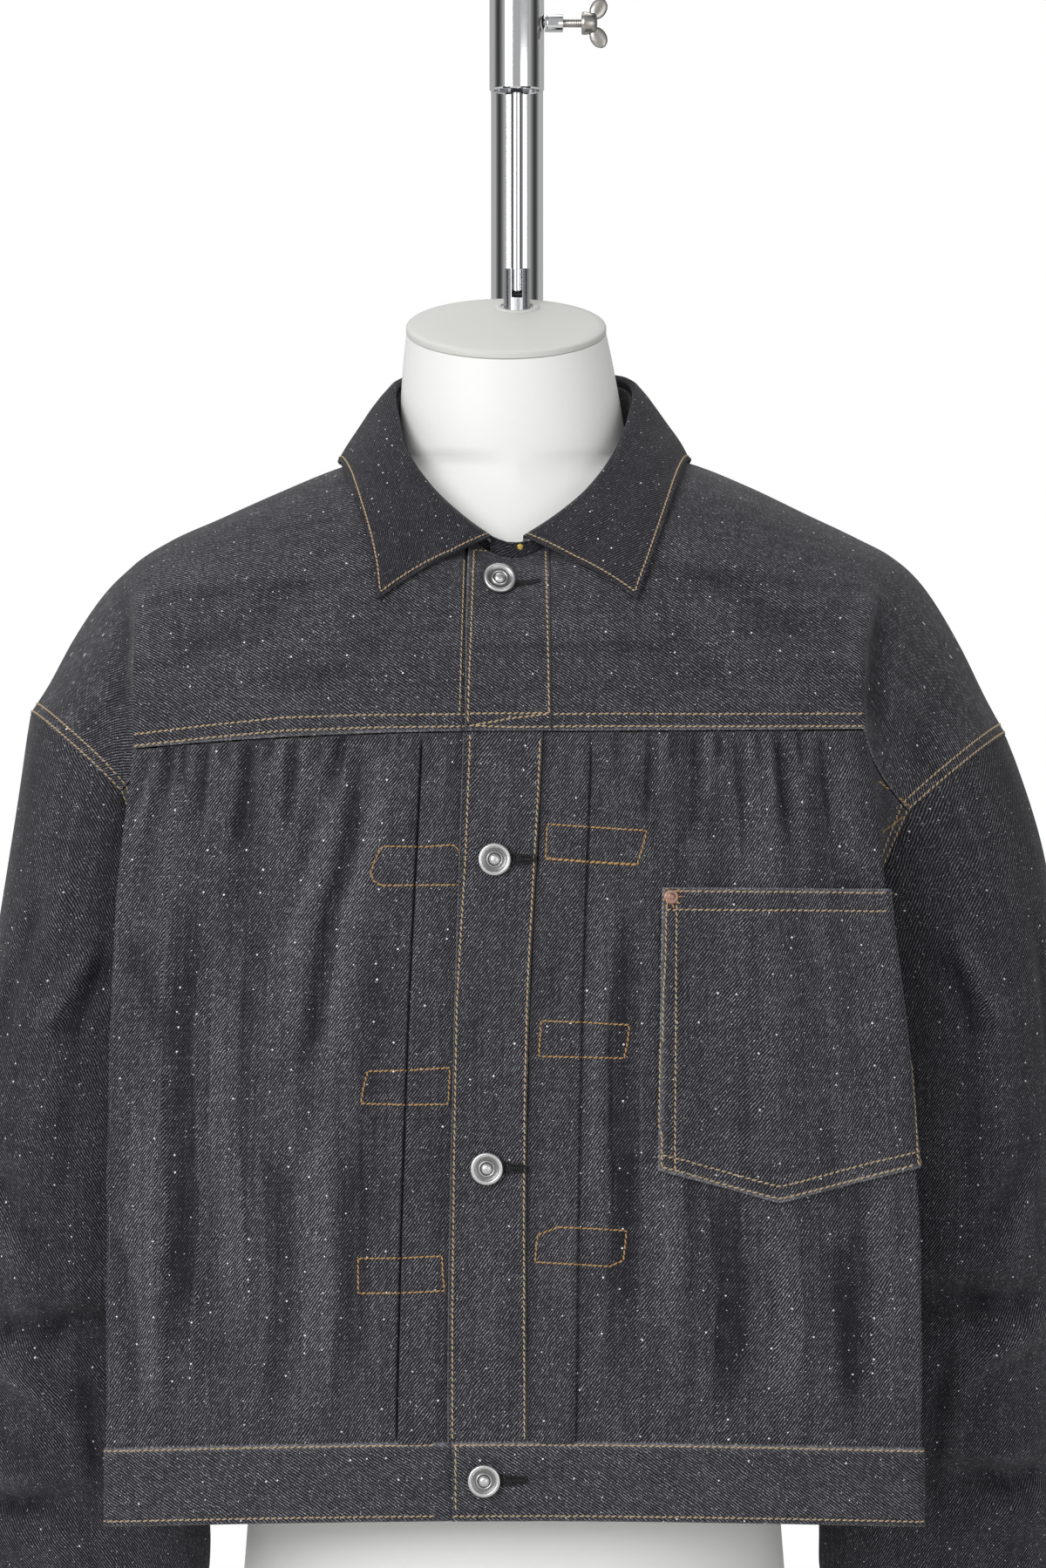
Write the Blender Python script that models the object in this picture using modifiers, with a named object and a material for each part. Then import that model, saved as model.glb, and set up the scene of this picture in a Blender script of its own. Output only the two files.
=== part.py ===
"""A denim jacket buttoned on a limbless dress form, which hangs from a cane-shaped stand.

Metres, +Z up, the front towards -Y. A height called h counts from the chest line. A side is
-1 for the wearer's right, towards -X, and +1 for the wearer's left, towards +X. Cloth is drawn
by its outer face and thickened inwards.
"""

import math
from collections import namedtuple

import bmesh
import bpy
import numpy as np
from mathutils import Matrix, Vector

# Gaps and walls
SEAM = 0.0004  # between pieces that are sewn together
REST = 0.0003  # between hard pieces that touch
CLOTH = 0.0016  # one layer of heavy denim
DOUBLE = 0.0021  # two pressed layers, as in a collar or a cuff

# Main sizes of the garment
CHEST = 0.700  # chest line above the floor
WAIST_SEAM_H = -0.3857  # centre front, where the waistband is sewn on
YOKE_SEAM_H = 0.0317  # centre front, where the yoke is sewn on
BAND_HEIGHT = 0.0444
RIDGE_Y = 0.006  # the shoulder seams lie in this plane
NECK_HALF_WIDTH = 0.0780
NECK_FRONT_DEPTH = 0.0930
NECK_BACK_DEPTH = 0.0600
SHOULDER_TIP = 0.3000
SHOULDER_LEAN = 0.0023  # the wearer's left tip hangs this much further out
PLEAT_AT, CREASE_AT = 0.22, 0.80  # places of the pleat and the side crease across a front
PLEAT_DEPTH = 0.0022
ARMHOLE_V = 0.55  # level of the armhole's foot, where the side seam ends
SEAM_BEND = 0.0012  # wider gap where two pieces meet at a bend

# Main sizes of the dress form and its stand
FORM_BOTTOM_H = -0.600
NECK_CAP_RADIUS = 0.0615
NECK_CAP_TILT = math.radians(21.0)
NECK_CAP_CENTRE = (-0.005, 0.0000, 0.2822)
STAND_X = 0.0015
ROD_Y = 0.037
POST_Y = 0.190
TUBE_RADIUS = 0.0170
TUBE_BORE = 0.0142
LEG_END_H = 0.4303
BEND_H = 0.6000
BORE_TOP_H = 0.5960
PLUG_RADIUS, PLUG_BOTTOM_H, PLUG_TOP_H = 0.0138, 0.4340, 0.5500
SHANK_RADIUS = 0.0027
ROD_HEAD_RADIUS = 0.0075
ROD_END_H = 0.3057
SOCKET_RADIUS, SOCKET_TOP_H = 0.0083, 0.3198
SLOT_WIDTH, SLOT_BELOW_ROD = 0.0068, 0.0042
PIN_RADIUS = 0.0014
ROD_RADIUS = 0.0039
SCREW_H = 0.4726
BASE_RADIUS = 0.200
BASE_THICKNESS = 0.010
BASE_CENTRE_Y = 0.060

FrontLevel = namedtuple("FrontLevel", "v crease_x crease_y crease_h seam_x seam_y seam_h")
FRONT_LEVELS = {
    -1: (
        FrontLevel(0.00, 0.2405, -0.122, -0.3930, 0.1760, 0.022, -0.393),
        FrontLevel(0.30, 0.2400, -0.124, -0.2680, 0.1780, 0.020, -0.280),
        FrontLevel(0.55, 0.2385, -0.125, -0.1650, 0.1800, 0.016, -0.165),
        FrontLevel(0.78, 0.2340, -0.125, -0.0680, 0.2060, -0.052, -0.080),
        FrontLevel(1.00, 0.2242, -0.121, 0.0216, 0.2350, -0.090, -0.004),
    ),
    1: (
        FrontLevel(0.00, 0.2405, -0.122, -0.3930, 0.1760, 0.022, -0.393),
        FrontLevel(0.30, 0.2390, -0.124, -0.2620, 0.1780, 0.020, -0.280),
        FrontLevel(0.55, 0.2310, -0.125, -0.1600, 0.1800, 0.016, -0.165),
        FrontLevel(0.78, 0.2190, -0.124, -0.0620, 0.2060, -0.055, -0.088),
        FrontLevel(1.00, 0.2070, -0.119, 0.0330, 0.2360, -0.088, -0.016),
    ),
}
CentreLevel = namedtuple("CentreLevel", "v front_y back_y")
CENTRE_LEVELS = (
    CentreLevel(0.00, -0.1480, 0.138),
    CentreLevel(0.30, -0.1520, 0.137),
    CentreLevel(0.60, -0.1540, 0.139),
    CentreLevel(1.00, -0.1480, 0.138),
)
BackLevel = namedtuple("BackLevel", "v centre_h seam_x seam_y seam_h")
BACK_LEVELS = (
    BackLevel(0.00, -0.393, 0.1760, 0.022, -0.393),
    BackLevel(0.30, -0.265, 0.1780, 0.020, -0.280),
    BackLevel(0.55, -0.155, 0.1800, 0.016, -0.165),
    BackLevel(0.78, -0.060, 0.1930, 0.078, -0.085),
    BackLevel(1.00, 0.040, 0.2160, 0.098, -0.012),
)
# Height of the shoulder ridge on the wearer's right and left. Inside the neck opening it only
# shapes the fronts and, with the rise added, the back.
Ridge = namedtuple("Ridge", "x right_h left_h back_rise")
RIDGE = (
    Ridge(-0.050, 0.1880, 0.1880, 0.0320),
    Ridge(0.000, 0.1600, 0.1600, 0.0774),
    Ridge(0.050, 0.1880, 0.1880, 0.0320),
    Ridge(0.078, 0.2025, 0.2035, 0.0),
    Ridge(0.108, 0.1938, 0.1968, 0.0),
    Ridge(0.145, 0.1787, 0.1822, 0.0),
    Ridge(0.181, 0.1627, 0.1650, 0.0),
    Ridge(0.212, 0.1487, 0.1503, 0.0),
    Ridge(0.232, 0.1360, 0.1395, 0.0),
    Ridge(0.2505, 0.1178, 0.1232, 0.0),
    Ridge(0.273, 0.0840, 0.0880, 0.0),
    Ridge(0.289, 0.0540, 0.0560, 0.0),
    Ridge(0.300, 0.0366, 0.0366, 0.0),
)
RIDGE_CREASE = {-1: 0.2320, 1: 0.2240}  # where the side crease would cross the ridge

# The button placket leans a little towards the wearer's right as it goes down.
Placket = namedtuple("Placket", "h free_x fold_x right_pleat_x left_pleat_x")
PLACKET = (
    Placket(-0.4350, -0.0370, 0.0077, -0.0680, 0.0345),
    Placket(-0.3857, -0.0375, 0.0077, -0.0674, 0.0352),
    Placket(-0.1300, -0.0335, 0.0092, -0.0600, 0.0390),
    Placket(0.0317, -0.0285, 0.0170, -0.0526, 0.0444),
    Placket(0.1370, -0.0260, 0.0185, -0.0500, 0.0470),
)
UNDER_REACH = 0.038  # how far the wearer's right front runs on under the placket
LAP_STEP = 0.0035  # beside the placket, where that front steps down under it

# Gathers and soft folds of the fronts: place across (0 at the placket, 1 at the side crease),
# how far they stand out, how wide they are and how far down they reach
Fold = namedtuple("Fold", "place out width reach lean")
FOLDS = {
    -1: (
        Fold(0.300, 0.0016, 0.020, 0.05, 0.00),
        Fold(0.355, 0.0013, 0.018, 0.04, 0.00),
        Fold(0.430, -0.0034, 0.022, 0.20, 0.24),
        Fold(0.485, 0.0018, 0.022, 0.07, 0.00),
        Fold(0.545, 0.0014, 0.018, 0.05, 0.00),
        Fold(0.600, 0.0017, 0.020, 0.06, 0.00),
        Fold(0.660, -0.0016, 0.018, 0.09, 0.08),
        Fold(0.720, 0.0017, 0.020, 0.06, 0.00),
        Fold(0.780, 0.0014, 0.018, 0.05, 0.00),
        Fold(0.840, 0.0018, 0.020, 0.06, 0.00),
        Fold(0.900, -0.0028, 0.022, 0.09, 0.10),
        Fold(0.950, 0.0015, 0.018, 0.05, 0.00),
    ),
    1: (
        Fold(0.310, 0.0015, 0.018, 0.05, 0.00),
        Fold(0.370, 0.0017, 0.020, 0.06, 0.00),
        Fold(0.440, 0.0014, 0.018, 0.05, 0.00),
        Fold(0.500, -0.0022, 0.022, 0.12, -0.04),
        Fold(0.560, 0.0024, 0.024, 0.12, -0.03),
        Fold(0.625, 0.0014, 0.018, 0.05, 0.00),
        Fold(0.685, 0.0017, 0.020, 0.06, 0.00),
        Fold(0.745, -0.0016, 0.018, 0.08, 0.05),
        Fold(0.805, 0.0018, 0.020, 0.06, 0.00),
        Fold(0.865, 0.0014, 0.018, 0.05, 0.00),
        Fold(0.930, 0.0018, 0.022, 0.08, 0.04),
    ),
}
# Long swells of the fronts and the back
Swell = namedtuple("Swell", "place out width")
SWELLS = {
    -1: (Swell(0.36, 0.0022, 0.10), Swell(0.62, -0.0026, 0.09), Swell(0.80, 0.0024, 0.08)),
    1: (Swell(0.42, -0.0020, 0.09), Swell(0.60, 0.0024, 0.09), Swell(0.82, -0.0022, 0.08)),
}
BACK_SWELLS = (
    Swell(-0.72, 0.0040, 0.11),
    Swell(-0.42, -0.0045, 0.13),
    Swell(-0.08, 0.0030, 0.12),
    Swell(0.30, -0.0050, 0.12),
    Swell(0.66, 0.0045, 0.12),
)

# Sleeves: rings from below the armhole to the cuff, leaning with the inner side lower
Ring = namedtuple("Ring", "h lean x y half_width half_depth")
SLEEVE_RINGS = (
    Ring(-0.078, 0.088, 0.2530, 0.012, 0.0660, 0.0860),
    Ring(-0.125, 0.062, 0.2590, 0.020, 0.0690, 0.0810),
    Ring(-0.180, 0.032, 0.2630, 0.026, 0.0710, 0.0760),
    Ring(-0.245, 0.008, 0.2650, 0.028, 0.0725, 0.0690),
    Ring(-0.330, 0.000, 0.2650, 0.024, 0.0735, 0.0590),
    Ring(-0.400, 0.000, 0.2630, 0.018, 0.0725, 0.0500),
    Ring(-0.455, 0.000, 0.2605, 0.014, 0.0725, 0.0430),
    Ring(-0.486, 0.000, 0.2595, 0.012, 0.0710, 0.0400),
    Ring(-0.497, 0.000, 0.2590, 0.010, 0.0600, 0.0370),
    Ring(-0.500, 0.000, 0.2590, 0.010, 0.0500, 0.0350),
)
SLEEVE_SHIFT = {-1: -0.0085, 1: 0.0120}  # the wearer's left sleeve puffs out more at the top
CUFF_TOP, CUFF_BOTTOM = (0.0495, 0.0345), (0.0475, 0.0330)
CUFF_H, CUFF_HEIGHT = -0.5004, 0.0500
CUFF_LAP = 0.022
# Creases of a sleeve: height, where round it (degrees, 0 outside, 90 in front), depth, sizes
Crease = namedtuple("Crease", "h turn out tall wide")
SLEEVE_CREASES = {
    -1: (
        Crease(-0.300, 100, 0.0060, 0.016, 55),
        Crease(-0.329, 120, -0.0110, 0.009, 60),
        Crease(-0.355, 100, 0.0065, 0.014, 60),
        Crease(-0.436, 80, -0.0080, 0.008, 65),
        Crease(-0.462, 80, 0.0060, 0.013, 70),
        Crease(-0.130, 120, -0.0080, 0.035, 40),
        Crease(-0.325, 280, -0.0070, 0.012, 60),
        Crease(-0.400, 250, -0.0060, 0.012, 60),
    ),
    1: (
        Crease(-0.286, 90, 0.0060, 0.016, 55),
        Crease(-0.313, 105, -0.0100, 0.009, 55),
        Crease(-0.340, 90, 0.0060, 0.014, 60),
        Crease(-0.420, 70, -0.0070, 0.009, 65),
        Crease(-0.448, 75, 0.0050, 0.013, 70),
        Crease(-0.120, 125, -0.0080, 0.035, 40),
        Crease(-0.318, 270, -0.0070, 0.012, 60),
        Crease(-0.395, 255, -0.0060, 0.012, 60),
    ),
}

# Half the collar, from its front end to the centre back: the roll and the outer edge
CollarStation = namedtuple("CollarStation", "roll_x roll_y roll_h edge_x edge_y edge_h")
COLLAR = (
    CollarStation(0.0148, -0.0900, 0.1515, 0.0755, -0.1330, 0.1125),
    CollarStation(0.0250, -0.0870, 0.1590, 0.0800, -0.1220, 0.1290),
    CollarStation(0.0440, -0.0780, 0.1765, 0.0885, -0.1000, 0.1530),
    CollarStation(0.0610, -0.0600, 0.2000, 0.0990, -0.0600, 0.1830),
    CollarStation(0.0715, -0.0300, 0.2250, 0.1055, -0.0170, 0.1965),
    CollarStation(0.0752, 0.0050, 0.2450, 0.1075, 0.0220, 0.1975),
    CollarStation(0.0650, 0.0450, 0.2545, 0.0890, 0.0670, 0.1940),
    CollarStation(0.0360, 0.0690, 0.2560, 0.0500, 0.0950, 0.1900),
    CollarStation(0.0000, 0.0750, 0.2560, 0.0000, 0.1030, 0.1880),
)
COLLAR_SHIFT = -0.0040  # the collar's front ends sit this far towards the wearer's right
COLLAR_BULGE = 0.0045  # how far the fall arches between its roll and its edge
COLLAR_GAP = 0.0014
NECKBAND_GAP = 0.0014
NECKBAND_IN, NECKBAND_DOWN = 0.0026, 0.0068  # its top edge from the collar's roll
NECKBAND_LAP_X = -0.0145
NECKBAND_END_HEIGHT = 0.0088

# Laps: how far the strips lie above or below the cloth's outer face
PLACKET_PROUD, PLACKET_THICKNESS = 0.0010, 0.0022
BAND_PROUD, TOP_BAND, UNDER_BAND = 0.0006, 0.0016, -0.0010
CUFF_OPENING = math.radians(250)
CUFF_STEP = 0.0013
SLEEVE_ROWS = (0.7, 1.5, 2.3, 3.0, 3.5, 3.8, 4.0, 4.25, 4.6, 5.0, 5.4, 5.65, 6.0, 6.5, 7.1, 8.0, 9.0)

# The patch pocket on the wearer's left front: its left edge, its ends and its pointed bottom
POCKET_X = (0.0835, 0.0862)
POCKET_TOP_H = -0.0600
POCKET_ACROSS = (0.0, 0.46, 1.0, 2.0)
POCKET_LOW_H = (-0.2249, -0.2443, -0.2240, -0.2236)
POCKET_WRAP_LOW, POCKET_WRAP_TOP = 0.020, 0.160  # share of the folded side that it covers
POCKET_GAP = 0.0018
RIVET_INSET = 0.0055
BUTTON_SEATS = ((-0.0093, 0.1185), (-0.0112, -0.0440), (-0.0158, -0.2240), (-0.0174, -0.4065))

# The dress form: sections from its flat underside to the neck. The power is 2 for an ellipse and
# more for a squarer section, and the tilt is in degrees, with the back higher.
FormLevel = namedtuple("FormLevel", "h half_width front_y back_y power x tilt")
FORM = (
    FormLevel(-0.600, 0.168, -0.108, 0.118, 2.25, 0.0, 0),
    FormLevel(-0.520, 0.168, -0.110, 0.120, 2.25, 0.0, 0),
    FormLevel(-0.430, 0.162, -0.108, 0.112, 2.25, 0.0, 0),
    FormLevel(-0.320, 0.158, -0.110, 0.108, 2.25, 0.0, 0),
    FormLevel(-0.200, 0.166, -0.118, 0.118, 2.25, 0.0, 0),
    FormLevel(-0.100, 0.176, -0.124, 0.126, 2.25, 0.0, 0),
    FormLevel(-0.020, 0.188, -0.124, 0.124, 2.25, 0.0, 0),
    FormLevel(0.050, 0.203, -0.116, 0.113, 2.25, 0.0, 0),
    FormLevel(0.100, 0.2125, -0.100, 0.096, 2.20, 0.0, 0),
    FormLevel(0.125, 0.2120, -0.088, 0.084, 2.10, 0.0, 0),
    FormLevel(0.143, 0.2125, -0.0740, 0.074, 2.00, 0.001, 0),
    FormLevel(0.158, 0.1850, -0.0670, 0.067, 1.80, 0.002, 0),
    FormLevel(0.172, 0.1560, -0.0620, 0.062, 1.60, 0.003, 0),
    FormLevel(0.184, 0.1270, -0.0600, 0.060, 1.45, 0.003, 0),
    FormLevel(0.1915, 0.0980, -0.0600, 0.060, 1.35, 0.002, 0),
    FormLevel(0.1965, 0.0770, -0.0600, 0.060, 1.60, 0.001, 0),
    FormLevel(0.2020, 0.0690, -0.0600, 0.060, 1.90, 0.0, 2),
    FormLevel(0.2150, 0.0680, -0.0605, 0.060, 2.00, -0.001, 5),
    FormLevel(0.2350, 0.0668, -0.0605, 0.060, 2.00, -0.0025, 12),
    FormLevel(0.2600, 0.0640, -0.0590, 0.0590, 2.00, -0.004, 18),
    FormLevel(0.2775, 0.0612, -0.0572, 0.0572, 2.00, -0.005, 21),
)
NECK_CAP_THICKNESS = 0.0040

MATERIALS = {
    "denim": ((0.045, 0.045, 0.060), 0.90, 0.0),
    "button_metal": ((0.55, 0.56, 0.57), 0.35, 1.0),
    "copper": ((0.45, 0.22, 0.15), 0.40, 1.0),
    "form_white": ((0.82, 0.82, 0.80), 0.60, 0.0),
    "cap_grey": ((0.62, 0.62, 0.60), 0.50, 0.0),
    "chrome": ((0.75, 0.76, 0.78), 0.08, 1.0),
    "steel": ((0.45, 0.46, 0.48), 0.30, 1.0),
    "dark_steel": ((0.10, 0.10, 0.11), 0.45, 1.0),
}


def clear_scene():
    for thing in list(bpy.data.objects):
        bpy.data.objects.remove(thing, do_unlink=True)


def new_collection(name, hidden=False):
    collection = bpy.data.collections.new(name)
    collection.hide_render = hidden
    bpy.context.scene.collection.children.link(collection)
    return collection


def material(name):
    found = bpy.data.materials.get(name)
    if found is None:
        colour, roughness, metallic = MATERIALS[name]
        found = bpy.data.materials.new(name)
        found.use_nodes = True
        shader = found.node_tree.nodes["Principled BSDF"]
        shader.inputs["Base Color"].default_value = (*colour, 1.0)
        shader.inputs["Roughness"].default_value = roughness
        shader.inputs["Metallic"].default_value = metallic
    return found


# Curves through the tables ------------------------------------------------------------------


def smooth(stops, values, at):
    """The cubic through these values, read at one place or an array of them."""
    stops, values = np.asarray(stops, float), np.asarray(values, float)
    slopes = np.gradient(values, stops)
    at = np.clip(at, stops[0], stops[-1])
    i = np.clip(np.searchsorted(stops, at, side="right") - 1, 0, len(stops) - 2)
    width = stops[i + 1] - stops[i]
    t = (at - stops[i]) / width
    return (
        values[i] * (2 * t**3 - 3 * t**2 + 1)
        + slopes[i] * width * (t**3 - 2 * t**2 + t)
        + values[i + 1] * (3 * t**2 - 2 * t**3)
        + slopes[i + 1] * width * (t**3 - t**2)
    )


def column(rows, key, name, at):
    return float(smooth([getattr(r, key) for r in rows], [getattr(r, name) for r in rows], at))


def mix(a, b, t):
    return a + (b - a) * t


def bell(distance, width):
    return math.exp(-((distance / width) ** 2))


def eased(t):
    t = min(max(t, 0.0), 1.0)
    return t * t * (3 - 2 * t)


# The jacket's body as one surface -----------------------------------------------------------


def by_armhole(rows, v):
    """The rows that lie on the same side of the armhole's foot as v."""
    return [r for r in rows if r.v == ARMHOLE_V or (r.v < ARMHOLE_V) == (v < ARMHOLE_V)]


def crease_point(side, v):
    rows = FRONT_LEVELS[side]
    x, y, h = (column(rows, "v", name, v) for name in ("crease_x", "crease_y", "crease_h"))
    return np.array((side * x, y, h))


def side_seam_point(side, v):
    rows = by_armhole(FRONT_LEVELS[side], v)
    x, y, h = (column(rows, "v", name, v) for name in ("seam_x", "seam_y", "seam_h"))
    return np.array((side * x, y, h))


def front_face(x, v):
    """A point of the flat face of the fronts, between the two side creases."""
    side = 1 if x >= 0 else -1
    crease = crease_point(side, v)
    t = min(abs(x / crease[0]), 1.0)
    y = mix(column(CENTRE_LEVELS, "v", "front_y", v), crease[1], t**2.4)
    h = mix(mix(WAIST_SEAM_H, YOKE_SEAM_H, v), crease[2], t * t)
    return np.array((x, y, h))


def front_side(side, q, v):
    """A point of the part that folds back, from the crease (q = 0) to the side seam (q = 1)."""
    crease, seam = crease_point(side, v), side_seam_point(side, v)
    pinch = np.array((side * 0.010, 0.0, 0.0))
    middle = (crease + seam) / 2 - pinch
    return crease * (1 - q) ** 2 + middle * 2 * q * (1 - q) + seam * q * q


def placket_x(name, v):
    return column(PLACKET, "h", name, mix(WAIST_SEAM_H, YOKE_SEAM_H, v))


def relief(side, a, v):
    """How far the gathers, the pleat and the soft folds stand out from a front."""
    across = (a - PLEAT_AT) / (CREASE_AT - PLEAT_AT)
    if across <= 0:
        return PLEAT_DEPTH * eased(a / (0.4 * PLEAT_AT)) * eased((1.02 - v) / 0.08)
    below = (1.0 - v) * (YOKE_SEAM_H - WAIST_SEAM_H)
    fade = eased((1 - across) / 0.10)
    out = 0.0
    for fold in FOLDS[side]:
        place = (fold.place - 0.22) / 0.78 + fold.lean * min(below / 0.15, 1.0)
        widened = fold.width * (1 + below / 0.10)
        out += fold.out * bell(across - place, widened) * bell(below, fold.reach)
    for swell in SWELLS[side]:
        grown = eased(below / 0.08) * eased(v / 0.15)
        out += swell.out * bell(across - swell.place, swell.width) * grown
    return out * fade


def front_point(side, a, v):
    """A point of a lower front: a is 0 at the placket, then the pleat, the crease and the seam."""
    crease_x = abs(crease_point(side, v)[0])
    if side > 0:
        start, pleat = placket_x("fold_x", v) + SEAM, placket_x("left_pleat_x", v)
    else:
        start, pleat = LAP_STEP - placket_x("free_x", v), -placket_x("right_pleat_x", v)
    if a <= CREASE_AT:
        x = float(np.interp(a, (0.0, PLEAT_AT, CREASE_AT), (start, pleat, crease_x)))
        return front_face(side * x, v)
    return front_side(side, (a - CREASE_AT) / (1 - CREASE_AT), v)


def ridge_point(side, x, back=False):
    """A point of the shoulder ridge. The wearer's left tip hangs a little lower and further out."""
    far = max(abs(x) - 0.24, 0.0) / (SHOULDER_TIP - 0.24)
    h = column(RIDGE, "x", "right_h" if side < 0 else "left_h", abs(x)) - side * 0.0065 * far
    if back:
        h += column(RIDGE, "x", "back_rise", abs(x))
    y = RIDGE_Y + (SEAM_BEND if back else -SEAM_BEND) * 0.7
    return np.array((side * (abs(x) + side * SHOULDER_LEAN * far), y, h))


def over_shoulder(foot, ridge, turn, swing):
    """A quarter turn from a foot on the chest or the back up to the shoulder ridge."""
    rise, fall = math.sin(turn), math.cos(turn)
    x = mix(foot[0], ridge[0], (1 - swing) * (1 - fall) + swing * rise)
    return np.array((x, mix(ridge[1], foot[1], fall), mix(foot[2], ridge[2], rise)))


def neckline_y(x, back):
    depth = NECK_BACK_DEPTH if back else -NECK_FRONT_DEPTH
    return RIDGE_Y + depth * math.sqrt(max(1 - (x / NECK_HALF_WIDTH) ** 2, 0.0))


def last_turn(foot, ridge, back):
    """The turn at which this column meets the neckline or the shoulder seam."""
    turn = math.pi / 2
    for _ in range(4):
        x = over_shoulder(foot, ridge, turn, 0.0)[0]
        if abs(x) >= NECK_HALF_WIDTH:
            return math.pi / 2
        share = (ridge[1] - neckline_y(x, back)) / (ridge[1] - foot[1])
        turn = math.acos(min(max(share, 0.0), 1.0))
    return turn


def yoke_start(side, at_ridge=False):
    """Where a yoke's face begins: the placket's fold on the left, its free edge on the right."""
    h = YOKE_SEAM_H + (0.12 if at_ridge else 0.0)
    if side > 0:
        return column(PLACKET, "h", "fold_x", h) + SEAM
    return LAP_STEP - column(PLACKET, "h", "free_x", h)


def yoke_face(side, foot_x, ridge_x, w):
    """A point of a yoke's flat face: w runs from the yoke seam to the neckline or the ridge."""
    foot, ridge = front_face(side * foot_x, 1.0), ridge_point(side, ridge_x)
    return over_shoulder(foot, ridge, w * last_turn(foot, ridge, False), 0.0)


def yoke_point(side, a, w):
    if a <= CREASE_AT:
        t = a / CREASE_AT
        foot_x = mix(yoke_start(side), abs(crease_point(side, 1.0)[0]), t)
        return yoke_face(side, foot_x, mix(yoke_start(side, True), RIDGE_CREASE[side], t), w)
    q = (a - CREASE_AT) / (1 - CREASE_AT)
    ridge = ridge_point(side, mix(RIDGE_CREASE[side], SHOULDER_TIP, q))
    return over_shoulder(front_side(side, q, 1.0), ridge, w * math.pi / 2, 0.8 * q)


def back_foot(side, u, v):
    turn = u * math.pi / 2
    rows, centre_h = by_armhole(BACK_LEVELS, v), column(BACK_LEVELS, "v", "centre_h", v)
    seam_x, seam_y, seam_h = (column(rows, "v", name, v) for name in ("seam_x", "seam_y", "seam_h"))
    x = seam_x * math.sin(turn) ** 0.9
    y = mix(seam_y, column(CENTRE_LEVELS, "v", "back_y", v), max(math.cos(turn), 0.0) ** 0.75)
    return np.array((side * x, y, mix(centre_h, seam_h, u * u)))


def back_point(side, u, v):
    """A point of the back: v runs to 1 at the shoulder blades and on to 2 at the ridge."""
    if v <= 1:
        point = back_foot(side, u, v)
        swell = sum(s.out * bell(side * u - s.place, s.width) for s in BACK_SWELLS)
        point[1] += swell * eased(v / 0.2) * eased((1 - v) / 0.5) * eased((1 - u) / 0.2)
        return point
    foot = back_foot(side, u, 1.0)
    width = abs(back_foot(side, 1.0, 1.0)[0])
    ridge = ridge_point(side, SHOULDER_TIP * abs(foot[0]) / width, back=True)
    swing = 0.8 * eased((u - 0.5) / 0.5)
    return over_shoulder(foot, ridge, (v - 1) * last_turn(foot, ridge, True), swing)


# Solids from the surface --------------------------------------------------------------------


def normals_of(grid, wrap=False):
    """Unit normals of a grid of points, by the cross product of its two directions."""
    if wrap:
        across = np.roll(grid, -1, axis=1) - np.roll(grid, 1, axis=1)
    else:
        across = np.gradient(grid, axis=1)
    up = np.gradient(grid, axis=0)
    normal = np.cross(across, up)
    return normal / np.maximum(np.linalg.norm(normal, axis=2, keepdims=True), 1e-12)


def raised(grid, out, wrap=False):
    """The grid moved out along its normals, by one amount or one for each point."""
    return grid + normals_of(grid, wrap) * np.reshape(out, np.shape(out) + (1,) * (3 - np.ndim(out)))


def cloth(name, grid, thickness, wrap=False, flip=False, finish="denim"):
    """A wall on this grid of outer points, whose normals point out, thickened inwards."""
    rows, columns = grid.shape[:2]
    faces = []
    for i in range(rows - 1):
        for j in range(columns if wrap else columns - 1):
            k = (j + 1) % columns
            ring = (i * columns + j, i * columns + k, (i + 1) * columns + k, (i + 1) * columns + j)
            faces.append(ring[::-1] if flip else ring)
    mesh = bpy.data.meshes.new(name)
    points = grid.reshape(-1, 3) + np.array((0, 0, CHEST))
    mesh.from_pydata([tuple(p) for p in points], [], faces)
    mesh.materials.append(material(finish))
    mesh.shade_smooth()
    solid = bpy.data.objects.new(name, mesh)
    wall = solid.modifiers.new("wall", "SOLIDIFY")
    wall.thickness, wall.offset = thickness, -1.0
    PARTS.objects.link(solid)
    return solid


def grid_of(function, rows, columns):
    return np.array([[function(c, r) for c in columns] for r in rows])


def spread(start, end, count, power=1.0):
    return [start + (end - start) * (i / (count - 1)) ** power for i in range(count)]


# Rows and columns that neighbouring pieces share, so that their seams match
FRONT_ROWS = spread(0.0, ARMHOLE_V, 6)[:-1] + spread(ARMHOLE_V, 1.0, 6, 0.9)
ARM_ROWS = [v for v in FRONT_ROWS if v >= ARMHOLE_V]
TOP_ROW = 1 - SEAM_BEND / (YOKE_SEAM_H - WAIST_SEAM_H)
SIDE_COLUMNS = [0.84, 0.88, 0.92, 0.96, 1.0]
YOKE_ROWS = spread(0.0, 1.0, 7)
UNDER_PLACKET = -0.0017  # the wearer's right edge lies this much lower, under the placket
LAP_COLUMNS = spread(1.0, 0.0, 5)


def under_lap(face, rows):
    """The columns of the wearer's right edge, which runs on under the placket."""
    reaches = [mix(-0.0008, UNDER_REACH, t) for t in LAP_COLUMNS]
    return np.array([[face(reach, row) for reach in reaches] for row in rows])


def lapped_grid(lap, grid, out):
    """A right-hand panel with its lap, its columns running towards +X, and how far each is raised."""
    grid = np.concatenate([lap, grid], axis=1)[:, ::-1]
    return grid, np.concatenate([np.full(lap.shape[:2], UNDER_PLACKET), out], axis=1)[:, ::-1]


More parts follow.
